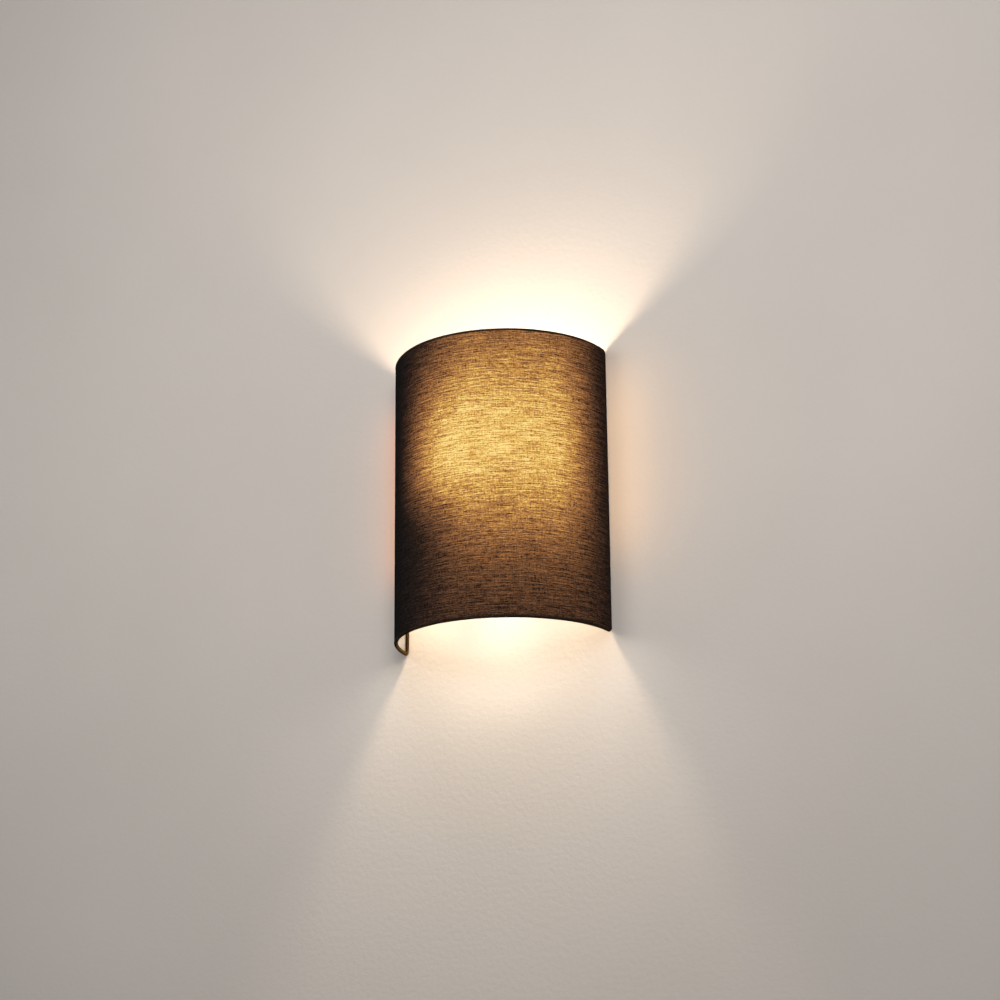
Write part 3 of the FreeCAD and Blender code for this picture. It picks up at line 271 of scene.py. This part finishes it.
def threads(s, at, round_len, up_len, detail=2.0, roughness=0.5, shift=0.0):
    """Noise drawn out along the threads: its lengths round the shade and up it, and a shift that makes it differ."""
    round_mm, up_mm = at
    place = s.node("ShaderNodeCombineXYZ", X=s.times(round_mm, 1 / round_len), Y=s.times(up_mm, 1 / up_len), Z=shift)
    return s.noise(place.outputs[0], detail, roughness)


def glow_patch(s, at, strength, middle, half_width, power, middle_z, up, down):
    """One row of GLOW_PATCHES, as a socket."""
    degree = math.radians(1) * SHADE_R
    round_mm, up_mm = at
    sideways = s.times(s.math("SUBTRACT", round_mm, middle * degree), 1 / (half_width * degree))
    side = s.math("POWER", s.math("ABSOLUTE", sideways), power)
    away = s.math("SUBTRACT", up_mm, middle_z)
    above = s.times(s.math("MAXIMUM", away, 0.0), 1 / up)
    below = s.times(s.math("MINIMUM", away, 0.0), 1 / down)
    fall = s.math("POWER", s.plus(above, s.math("ABSOLUTE", below)), 2.0)
    return s.times(s.math("EXPONENT", s.times(s.plus(side, fall), -1.0)), strength)


def linen(name, tones):
    """Charcoal linen with slubs: its shader, the place on the cloth, how thin it is there, and that from 0 to 1."""
    s = Shader(name)
    at = round_mm, up_mm = cloth_position(s)
    long_slub = threads(s, at, 30.0, 1.25, roughness=0.6)
    short_slub = threads(s, at, 6.0, 1.15, shift=7.0)
    fleck = threads(s, at, 1.9, 1.15, detail=1.0, shift=13.0)
    warp = threads(s, at, 0.8, 10.0, detail=1.0, shift=21.0)
    weft_wave = s.math("SINE", s.times(up_mm, 2 * math.pi / WEFT_PITCH))
    warp_wave = s.math("SINE", s.times(round_mm, 2 * math.pi / WARP_PITCH))
    plain_weave = s.times(weft_wave, warp_wave)
    thin = s.plus(s.spread(long_slub, 0.25, 0.75, -0.72, 0.60), s.spread(short_slub, 0.25, 0.75, -0.46, 0.46))
    thin = s.plus(thin, s.spread(fleck, 0.2, 0.8, -0.48, 0.48))
    thin = s.plus(thin, s.spread(warp, 0.2, 0.8, -0.28, 0.28))
    thin = s.plus(thin, s.times(plain_weave, 0.10))
    tone = s.spread(thin, -1.2, 1.2)
    s.set(Base_Color=s.ramp(tone, tones), Roughness=s.spread(tone, 0.2, 0.8, 0.95, 0.85), Specular_IOR_Level=0.0)
    s.bump(s.plus(s.times(thin, 0.45), s.times(plain_weave, 0.25)), 0.10)
    return s, at, thin, tone


def face_linen(name):
    """The cloth of the face, with painted glow for the bulb behind it: its thin places glow and its slubs stay dark."""
    s, at, thin, _ = linen(name, CLOTH_TONES)
    # Painted light: the patches and ramp below are emission that stands for the bulb's light through the cloth.
    light, *others = [glow_patch(s, at, *row) for row in GLOW_PATCHES]
    for other in others:
        light = s.plus(light, other)
    contrast = s.spread(light, 0.0, 1.0, 1.55, 0.66)
    through = s.plus(1.0, s.times(thin, contrast))
    cloud = threads(s, at, 22.0, 9.0, shift=33.0)
    through = s.times(through, s.spread(cloud, 0.25, 0.75, 0.86, 1.12))
    level = s.times(light, s.math("MAXIMUM", through, 0.12))
    s.set(Emission_Color=s.ramp(level, GLOW_COLOURS), Emission_Strength=1.0)
    return s.material


def hem_linen(name):
    """The same cloth where it is rolled double round the wire: only its inner side has painted glow for the bulb's
    light.
    """
    s, _, _, tone = linen(name, HEM_TONES)
    x, y, _ = s.axes(s.coords)
    from_axis = s.math("SQRT", s.plus(s.times(x, x), s.times(y, y)))
    inner = s.spread(from_axis, (WIRE_RING_R - 1.8) * MM, WIRE_RING_R * MM, 1.0, 0.0)
    level = s.times(inner, s.spread(tone, 0.2, 0.8, 0.55, 1.0))
    s.set(Emission_Color=s.ramp(level, HEM_GLOW), Emission_Strength=1.0)
    return s.material


def liner_foil(name):
    """The white foil behind the cloth: satin, very slightly rippled, with the weave telegraphing through."""
    s = Shader(name)
    at = cloth_position(s)
    slub = threads(s, at, 18.0, 1.1)
    ripple = s.noise(s.scaled(60))
    grain = threads(s, at, 1.2, 1.2, shift=5.0)
    tone = s.plus(s.times(slub, 0.6), s.times(ripple, 0.4))
    s.set(Base_Color=s.ramp(tone, [(0.3, (0.74, 0.70, 0.62)), (0.7, (0.84, 0.81, 0.74))]),
          Roughness=s.spread(grain, 0.3, 0.7, 0.42, 0.58))
    s.bump(s.plus(slub, s.times(grain, 0.4)), 0.06)
    return s.material


def opal(name):
    """The opal dome, lit: brightest at the crown, warmer towards its seam."""
    s = Shader(name)
    up = s.spread(s.axes(s.coords)["Z"], (BULB_Z - 9) * MM, (BULB_Z + GLOBE_R) * MM)
    cloud = s.noise(s.scaled(14), detail=3.0)
    level = s.plus(up, s.times(s.math("SUBTRACT", cloud, 0.5), 0.12))
    glow = s.ramp(level, [(0.0, (0.74, 0.42, 0.18)), (0.25, (0.90, 0.62, 0.33)), (0.8, (0.92, 0.74, 0.48))])
    s.set(Base_Color=s.ramp(cloud, [(0.3, (0.84, 0.81, 0.75)), (0.7, (0.90, 0.88, 0.83))]),
          Roughness=s.spread(cloud, 0.3, 0.7, 0.22, 0.3), Emission_Color=glow, Emission_Strength=1.0)
    s.bump(s.noise(s.scaled(0.8)), 0.008)
    return s.material


# ---------------------------------------------------------------- mesh helpers
def mesh_object(name, points, faces, material, smooth=True):
    mesh = bpy.data.meshes.new(name)
    mesh.from_pydata([tuple(p) for p in np.asarray(points) * MM], [], faces)
    mesh.materials.append(material)
    mesh.polygons.foreach_set("use_smooth", [smooth] * len(mesh.polygons))
    mesh.validate()
    mesh.update()
    made = bpy.data.objects.new(name, mesh)
    scene.collection.objects.link(made)
    return made


def grid_faces(rows, columns, closed=False, start=0):
    """Quads between neighbouring rows and columns of a grid of points. A closed grid also joins its ends."""
    faces = []
    for i in range(rows if closed else rows - 1):
        for j in range(columns if closed else columns - 1):
            here = start + i * columns
            above = start + ((i + 1) % rows) * columns
            after = (j + 1) % columns
            faces.append((here + j, here + after, above + after, above + j))
    return faces


def sharpen(obj, degrees):
    """Marks edges over this angle sharp, so that smooth shading keeps the corners."""
    obj.data.set_sharp_from_angle(angle=math.radians(degrees))


def turned_piece(name, profile, radius_at, material, steps=96):
    """A body of revolution on the bulb's axis: the profile gives (r, h) pairs, and radius_at presses a thread in."""
    points = []
    for r, h in profile:
        for k in range(steps):
            turn = 2 * math.pi * k / steps
            pressed = radius_at(r, h, turn)
            points.append((pressed * math.cos(turn), pressed * math.sin(turn), h))
    made = mesh_object(name, np.array(points) + (0, LAMP_Y, 0), grid_faces(len(profile), steps, closed=True), material)
    sharpen(made, 35)
    return made


def thread_wave(turn, h):
    """A rounded thread, from -1 in its root to 1 on its crest."""
    return math.sin(2 * math.pi * (h / THREAD_PITCH) - turn)


# ---------------------------------------------------------------- shade
def face_sheet():
    """The stretched face: two skins, the cloth's thickness apart, closed along its edges under the hems."""
    tuck = 0.6          # from the wire's middle line to the sheet's edge
    end = math.asin(-UPRIGHT_Y / WIRE_RING_R) + tuck / SHADE_R
    turns = np.linspace(-math.pi / 2 + end, math.pi / 2 - end, 220)
    heights = np.linspace(WIRE_LOW_Z + tuck, WIRE_HIGH_Z - tuck, 120)
    t, z = np.meshgrid(turns, heights)
    rise = (z - WIRE_LOW_Z) / (WIRE_HIGH_Z - WIRE_LOW_Z)
    sway = 0.10 * np.sin(t * 5.0 + z * 0.011) * np.sin(rise * math.pi)
    points = []
    for skin in (SHADE_R, SHADE_R - FABRIC_T):
        r = skin + np.minimum(sway, 0.0) * 0.4
        points.append(np.stack([r * np.sin(t), -r * np.cos(t), z], -1).reshape(-1, 3))
    rows, columns = len(heights), len(turns)
    skin_size = rows * columns
    outer = grid_faces(rows, columns)
    inner = [face[::-1] for face in grid_faces(rows, columns, start=skin_size)]
    rim = list(range(columns))
    rim += [i * columns + columns - 1 for i in range(1, rows)]
    rim += [(rows - 1) * columns + j for j in range(columns - 2, -1, -1)]
    rim += [i * columns for i in range(rows - 2, 0, -1)]
    edge = [(a, a + skin_size, b + skin_size, b) for a, b in zip(rim, rim[1:] + rim[:1])]
    return np.concatenate(points), outer + inner + edge


def hem_path():
    """The line of the wire frame, once round: bottom arc, right upright, top arc, left upright."""
    turns = np.linspace(-RING_HALF_TURN, RING_HALF_TURN, 200)
    line = []

    def arc(z, order):
        for t in order:
            line.append((WIRE_RING_R * math.sin(t), -WIRE_RING_R * math.cos(t), z))

    def bend(side, z, up, order):
        """The quarter turn between a ring's end and an upright."""
        end = (side * WIRE_RING_R * math.sin(RING_HALF_TURN), -WIRE_RING_R * math.cos(RING_HALF_TURN))
        along = (side * math.cos(RING_HALF_TURN), math.sin(RING_HALF_TURN))
        for a in order:
            on = CORNER_R * math.sin(a)
            line.append((end[0] + along[0] * on, end[1] + along[1] * on, z + up * CORNER_R * (1 - math.cos(a))))

    def upright(side, z0, z1):
        for z in np.linspace(z0, z1, 100)[1:-1]:
            line.append((side * UPRIGHT_X, UPRIGHT_Y, z))

    quarter = np.linspace(0, math.pi / 2, 9)[1:]
    arc(WIRE_LOW_Z, turns)
    bend(1, WIRE_LOW_Z, 1, quarter)
    upright(1, WIRE_LOW_Z + CORNER_R, WIRE_HIGH_Z - CORNER_R)
    bend(1, WIRE_HIGH_Z, -1, quarter[::-1])
    arc(WIRE_HIGH_Z, turns[::-1])
    bend(-1, WIRE_HIGH_Z, -1, quarter)
    upright(-1, WIRE_HIGH_Z - CORNER_R, WIRE_LOW_Z + CORNER_R)
    bend(-1, WIRE_LOW_Z, 1, quarter[::-1])
    return np.array(line)


def hem_roll(start):
    """The rolled hem: the cloth wrapped round the wire, with the small creases of hand rolling."""
    line = hem_path()
    ahead = np.roll(line, -1, 0) - np.roll(line, 1, 0)
    ahead /= np.linalg.norm(ahead, axis=1)[:, None]
    out = line * np.array([1.0, 1.0, 0.0])
    out -= (out * ahead).sum(1)[:, None] * ahead
    out /= np.linalg.norm(out, axis=1)[:, None]
    side = np.cross(ahead, out)
    travelled = np.concatenate([[0.0], np.cumsum(np.linalg.norm(np.diff(line, axis=0), axis=1))])
    points = []
    sides = 24
    for k in range(sides):
        a = 2 * math.pi * k / sides
        crease = 0.05 * np.sin(travelled * 1.9 + 2.0 * math.cos(a)) * np.sin(travelled * 0.37 + a)
        lump = 0.04 * np.sin(travelled * 0.11 + 1.3 * a)
        inward = max(0.0, -math.cos(a))
        r = HEM_R + (crease + lump) * (0.35 + 0.65 * inward)
        points.append(line + r[:, None] * (math.cos(a) * out + math.sin(a) * side))
    points = np.stack(points, 1).reshape(-1, 3)
    return points, grid_faces(len(line), sides, closed=True, start=start)


def make_shade():
    """The cloth of the shade: its face and its rolled hem in one piece."""
    face_points, face_faces = face_sheet()
    roll_points, roll_faces = hem_roll(len(face_points))
    cloth = mesh_object("shade_cloth", np.concatenate([face_points, roll_points]), face_faces + roll_faces,
                        face_linen("linen_lit"))
    cloth.data.materials.append(hem_linen("linen_hem"))
    cloth.data.polygons.foreach_set("material_index", [0] * len(face_faces) + [1] * len(roll_faces))
    sharpen(cloth, 60)
    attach(cloth, "shade")
    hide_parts("shade_fabric")


# ---------------------------------------------------------------- bulb cap and holder shell
def make_bulb_cap(material):
    """The bulb's screw cap with its rolled thread."""
    low, top = 29.5, 52.5
    outer_r, inner_r = 12.5, 12.15
    profile = [(10.8, low), (11.1, low), (12.3, low + 1.2), (outer_r, low + 2.0)]
    profile += [(outer_r, low + 2.0 + 0.25 * k) for k in range(1, 70)]
    profile += [(12.6, top - 2.2), (12.9, top - 1.2), (13.7, top), (13.4, top), (12.7, top - 1.4), (12.35, top - 2.2)]
    profile += [(inner_r, top - 2.5 - 0.25 * k) for k in range(0, 66)]
    profile += [(12.1, low + 2.0), (12.0, low + 1.3)]

    def radius_at(r, h, turn):
        if not low + 1.9 < h < top - 2.1 or r > 12.55:
            return r
        fade = min(1.0, (h - low - 1.9) / 2.0, (top - 2.1 - h) / 1.5)
        return r + 0.55 * fade * thread_wave(turn, h) * (1.0 if r > 12.3 else 0.85)

    cap = turned_piece("bulb_cap_threaded", profile, radius_at, material)
    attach(cap, "bulb_base")
    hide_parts("bulb_cap")
    cap.visible_shadow = False


def make_screw_shell(material):
    """The holder's shell, with the same thread rolled into it."""
    low, top = 22.0, 46.0
    outer_r, inner_r = 13.35, 13.05
    profile = [(9.45, low), (13.75, low)]
    profile += [(outer_r, low + 1.0 + 0.3 * k) for k in range(0, 74)]
    profile += [(13.8, top - 0.6), (14.1, top), (13.75, top), (13.45, top - 0.6)]
    profile += [(inner_r, low + 1.0 + 0.3 * k) for k in range(73, -1, -1)]
    profile += [(13.3, low + 0.4), (9.45, low + 0.4)]

    def radius_at(r, h, turn):
        if not low + 0.9 < h < top - 0.9:
            return r
        fade = min(1.0, (h - low - 0.9) / 2.0, (top - 0.9 - h) / 2.0)
        return r + 0.45 * fade * thread_wave(turn, h)

    shell = turned_piece("screw_shell_threaded", profile, radius_at, material)
    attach(shell, "wall_bracket")
    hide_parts("holder_screw_shell")
    shell.visible_shadow = False


# ---------------------------------------------------------------- put the object together
nickel = metal("satin_nickel", (0.70, 0.67, 0.61), 0.26, streak=(14.0, 0.4, 0.4))

# Each finish, and the solids that take it.
FINISHES = [
    (galvanised("zinc_plate", (0.62, 0.63, 0.65)), ["mounting_strap"]),
    (metal("zinc_screw", (0.66, 0.67, 0.68), 0.28, depth=0.008),
     ["terminal_screws", "terminal_block_screw", "bracket_screws", "bracket_nuts", "nipple_washer", "nipple_nut"]),
    (powder_coat("white_powder_coat", (0.80, 0.79, 0.76)), ["canopy", "holder_bracket"]),
    (powder_coat("frame_white", (0.78, 0.77, 0.73)),
     ["top_ring_wire", "bottom_ring_wire", "left_upright_wire", "right_upright_wire", "left_carrier", "right_carrier"]),
    (nickel,
     ["left_thumb_screw", "right_thumb_screw", "left_screw_washer", "right_screw_washer", "bulb_centre_contact",
      "bulb_cap", "holder_screw_shell"]),
    (metal("bare_brass", (0.76, 0.56, 0.25), 0.30),
     ["terminal_sleeves", "earth_lug", "earth_screw", "hollow_nipple", "holder_terminal_screws",
      "holder_contact_leaf"]),
    (plastic("holder_white", (0.80, 0.79, 0.75), 0.38), ["holder_cap", "holder_sleeve"]),
    (plastic("block_plastic", (0.74, 0.75, 0.72), 0.34, depth=0.02), ["terminal_block"]),
    (plastic("bush_black", (0.035, 0.035, 0.037), 0.45), ["cable_bush", "lead_bush"]),
    (plastic("bulb_white", (0.80, 0.79, 0.76), 0.30, grain=0.6, depth=0.01, spread=0.05), ["bulb_housing"]),
    (plastic("cap_insulator_glass", (0.012, 0.012, 0.016), 0.12, grain=2.0, depth=0.02), ["bulb_cap_insulator"]),
    (plastic("circuit_board", (0.03, 0.17, 0.07), 0.35, depth=0.02), ["bulb_driver_board"]),
    (powder_coat("white_solder_mask", (0.82, 0.82, 0.80)), ["bulb_led_board"]),
    (plastic("led_phosphor", (0.85, 0.62, 0.12), 0.25, depth=0.02), ["bulb_leds"]),
    (ceramic("insert_ceramic", (0.82, 0.80, 0.74)), ["holder_insert"]),
    (braid("glass_fibre_sleeve", (0.80, 0.77, 0.66)), ["lead_sleeve"]),
    (insulation("brown_insulation", (0.16, 0.06, 0.025)), ["live_lead"]),
    (insulation("blue_insulation", (0.02, 0.09, 0.36)), ["neutral_lead"]),
    (insulation("earth_insulation", (0.60, 0.52, 0.04), (0.03, 0.22, 0.06)), ["earth_lead"]),
    (liner_foil("liner_foil"), ["shade_liner", "shade_fabric"]),
    (opal("opal_dome_lit"), ["bulb_globe"]),
]
for finish, names in FINISHES:
    for node_name in names:
        node_mesh = nodes[node_name].data
        node_mesh.materials.clear()
        node_mesh.materials.append(finish)

make_shade()
make_bulb_cap(nickel)
make_screw_shell(nickel)

# The lamps that stand for the bulb's light are in and under the bulb, so it and what carries it don't block them.
SHADOWLESS = ("bulb_", "holder_", "bracket_", "nipple_", "hollow_", "lead_sleeve", "live_", "neutral_")
for node_name, node_object in nodes.items():
    if node_name.startswith(SHADOWLESS):
        node_object.visible_shadow = False


# ---------------------------------------------------------------- wall and floor
WALL_GAP = 0.1          # behind the object, which reaches back to y = 0
WALL_HALF, WALL_TOP = 4000, 3000
FLOOR_HALF, FLOOR_REACH, FLOOR_Z = 6000, 8000, -1600


def plaster(name):
    """The painted wall: pale warm grey with a fine roller texture. It is clear from behind and to shadow rays."""
    s = Shader(name)
    s.material.use_backface_culling = True
    grain = s.noise(s.scaled(5.5), detail=4.0, roughness=0.6)
    cloud = s.noise(s.scaled(260), detail=3.0)
    s.set(Base_Color=s.ramp(cloud, [(0.3, (0.565, 0.515, 0.478)), (0.7, (0.590, 0.540, 0.503))]),
          Roughness=0.9, Specular_IOR_Level=0.15)
    s.bump(grain, 0.35, 0.8)
    clear = s.node("ShaderNodeBsdfTransparent")
    back = s.node("ShaderNodeNewGeometry").outputs["Backfacing"]
    shadow = s.node("ShaderNodeLightPath").outputs["Is Shadow Ray"]
    pick = s.node("ShaderNodeMixShader", Fac=s.math("MAXIMUM", back, shadow))
    s.tree.links.new(s.main.outputs[0], pick.inputs[1])
    s.tree.links.new(clear.outputs[0], pick.inputs[2])
    s.tree.links.new(pick.outputs[0], s.tree.nodes["Material Output"].inputs["Surface"])
    return s.material


def pale_floor(name):
    """The floor. Only camera rays see it paler than the lamps make it, so that adds no light to the object."""
    s = Shader(name)
    seen = s.node("ShaderNodeLightPath").outputs["Is Camera Ray"]
    s.set(Base_Color=s.ramp(s.noise(s.scaled(300)), [(0.3, (0.60, 0.56, 0.52)), (0.7, (0.64, 0.60, 0.56))]),
          Roughness=0.8, Emission_Color=(0.62, 0.58, 0.54, 1.0), Emission_Strength=s.times(seen, 0.6))
    return s.material


def flat_sheet(name, corners, material):
    made = mesh_object(name, corners, [(0, 1, 2, 3)], material, smooth=False)
    return made


wall = flat_sheet("wall", [(-WALL_HALF, WALL_GAP, FLOOR_Z), (WALL_HALF, WALL_GAP, FLOOR_Z),
                           (WALL_HALF, WALL_GAP, WALL_TOP), (-WALL_HALF, WALL_GAP, WALL_TOP)],
                  plaster("wall_paint"))
floor = flat_sheet("floor", [(-FLOOR_HALF, -FLOOR_REACH, FLOOR_Z), (FLOOR_HALF, -FLOOR_REACH, FLOOR_Z),
                             (FLOOR_HALF, FLOOR_REACH, FLOOR_Z), (-FLOOR_HALF, FLOOR_REACH, FLOOR_Z)],
                   pale_floor("floor_paint"))
room = bpy.data.collections.new("room")
room.objects.link(wall)
room.objects.link(floor)

# ---------------------------------------------------------------- lamps and world
# Power in watts. The key, the fills, and the bulb, foot and edge lights are fitted to the photograph's wall.
KEY_W, LEFT_FILL_W, RIGHT_FILL_W, REAR_W = 27.0, 5.6, 6.85, 30.0
BULB_W, FOOT_W, INSIDE_W = 6.8, 0.86, 0.10
LEFT_EDGE_W, RIGHT_EDGE_W = 0.019, 0.042
WORLD_LIGHT, WORLD_SEEN = 0.10, 0.72
EASE = 0.007            # square metres, for the Smooth input of the Light Falloff node


def add_lamp(name, kind, place, power, colour):
    data = bpy.data.lights.new(name, kind)
    data.energy = power
    data.color = colour
    made = bpy.data.objects.new(name, data)
    scene.collection.objects.link(made)
    made.location = place
    return made


def turn_to(lamp, direction):
    lamp.rotation_mode = "QUATERNION"
    lamp.rotation_quaternion = direction.to_track_quat("-Z", "Y")


def area_lamp(name, place, aim, size, power, colour):
    """A soft studio lamp: a disk that looks at a point."""
    made = add_lamp(name, "AREA", place, power, colour)
    made.data.shape = "DISK"
    made.data.size = size
    turn_to(made, Vector(aim) - Vector(place))


def only_room(lamp):
    """Keeps a lamp's light to the wall and floor, so that the pale inside of the shade doesn't burn out."""
    lamp.light_linking.receiver_collection = room


def warm_lamp(name, z, power, radius, colour, ease=0.0):
    """A warm ball of light on the bulb's axis, placed and sized in millimetres. Ease softens it close by."""
    made = add_lamp(name, "POINT", (0, LAMP_Y * MM, z * MM), power, colour)
    made.data.shadow_soft_size = radius * MM
    made.visible_camera = False
    if ease:
        made.data.use_nodes = True
        tree = made.data.node_tree
        falloff = tree.nodes.new("ShaderNodeLightFalloff")
        falloff.inputs["Strength"].default_value = 1.0
        falloff.inputs["Smooth"].default_value = ease
        tree.links.new(falloff.outputs["Quadratic"], tree.nodes["Emission"].inputs["Strength"])
    return made


def edge_lamp(name, side, length, height, out, power, colour):
    """Light that comes through the cloth's rear edge and grazes the wall beside it."""
    made = add_lamp(name, "AREA", (side * 0.119, out, height), power, colour)
    made.data.shape = "RECTANGLE"
    made.data.size = 0.012
    made.data.size_y = length
    made.visible_camera = False
    turn_to(made, Vector((side * 0.6, 0.8, 0.0)))
    only_room(made)


area_lamp("key", (0.5, -1.6, 2.3), (0, 0, 0.2), 1.6, KEY_W, (0.96, 0.97, 1.0))
area_lamp("left_fill", (-0.55, -1.2, 0.3), (0, 0, 0.12), 0.5, LEFT_FILL_W, (1.0, 1.0, 0.97))
area_lamp("right_fill", (0.55, -1.2, 0.3), (0, 0, 0.12), 0.5, RIGHT_FILL_W, (1.0, 1.0, 0.97))
area_lamp("rear", (0.6, 2.6, 1.2), (0, 0, 0.05), 2.2, REAR_W, (1.0, 1.0, 1.0))
only_room(warm_lamp("bulb_light", BULB_Z, BULB_W, GLOBE_R, (1.0, 0.78, 0.55), EASE))
only_room(warm_lamp("foot_light", -40.0, FOOT_W, 40.0, (1.0, 0.94, 0.80), EASE / 2))
warm_lamp("inside_light", BULB_Z, INSIDE_W, GLOBE_R, (1.0, 0.72, 0.45))
edge_lamp("left_edge_light", -1, 0.19, 0.08, -0.022, LEFT_EDGE_W, (1.0, 0.32, 0.03))
edge_lamp("right_edge_light", 1, 0.20, 0.085, -0.045, RIGHT_EDGE_W, (1.0, 0.54, 0.14))

# The world lights the object softly, and is pale to the camera and in metal and glass.
world = bpy.data.worlds.new("pale_room")
scene.world = world
world.use_nodes = True
tree = world.node_tree
backdrop = tree.nodes["Background"]
backdrop.inputs["Color"].default_value = (0.92, 0.95, 1.0, 1.0)
rays = tree.nodes.new("ShaderNodeLightPath").outputs
seen = rays["Is Camera Ray"]
for ray in ("Is Glossy Ray", "Is Transmission Ray"):
    either = tree.nodes.new("ShaderNodeMath")
    either.operation = "MAXIMUM"
    tree.links.new(seen, either.inputs[0])
    tree.links.new(rays[ray], either.inputs[1])
    seen = either.outputs[0]
strength = tree.nodes.new("ShaderNodeMapRange")
strength.inputs["To Min"].default_value = WORLD_LIGHT
strength.inputs["To Max"].default_value = WORLD_SEEN
tree.links.new(seen, strength.inputs["Value"])
tree.links.new(strength.outputs[0], backdrop.inputs["Strength"])

scene.view_settings.view_transform = "Standard"

# ---------------------------------------------------------------- camera, as fitted to the photograph
YAW, PITCH, ROLL = math.radians(24.715), math.radians(17.290), math.radians(-0.538)
CAMERA_AT = (0.9449, -2.0682, -0.6485)
FOCAL_PX, IMAGE_PX = 2301.8, 1000.0
SENSOR_MM = 36.0
ahead = Vector((-math.sin(YAW) * math.cos(PITCH), math.cos(YAW) * math.cos(PITCH), math.sin(PITCH)))
level_right = Vector((math.cos(YAW), math.sin(YAW), 0))
level_up = level_right.cross(ahead)
right = math.cos(ROLL) * level_right + math.sin(ROLL) * level_up
up = -math.sin(ROLL) * level_right + math.cos(ROLL) * level_up
camera_data = bpy.data.cameras.new("camera")
camera_data.sensor_width = SENSOR_MM
camera_data.lens = SENSOR_MM * FOCAL_PX / IMAGE_PX
camera_data.clip_end = 60.0
camera = bpy.data.objects.new("camera", camera_data)
scene.collection.objects.link(camera)
camera.matrix_world = Matrix((
    (right.x, up.x, -ahead.x, CAMERA_AT[0]),
    (right.y, up.y, -ahead.y, CAMERA_AT[1]),
    (right.z, up.z, -ahead.z, CAMERA_AT[2]),
    (0, 0, 0, 1),
))
scene.camera = camera
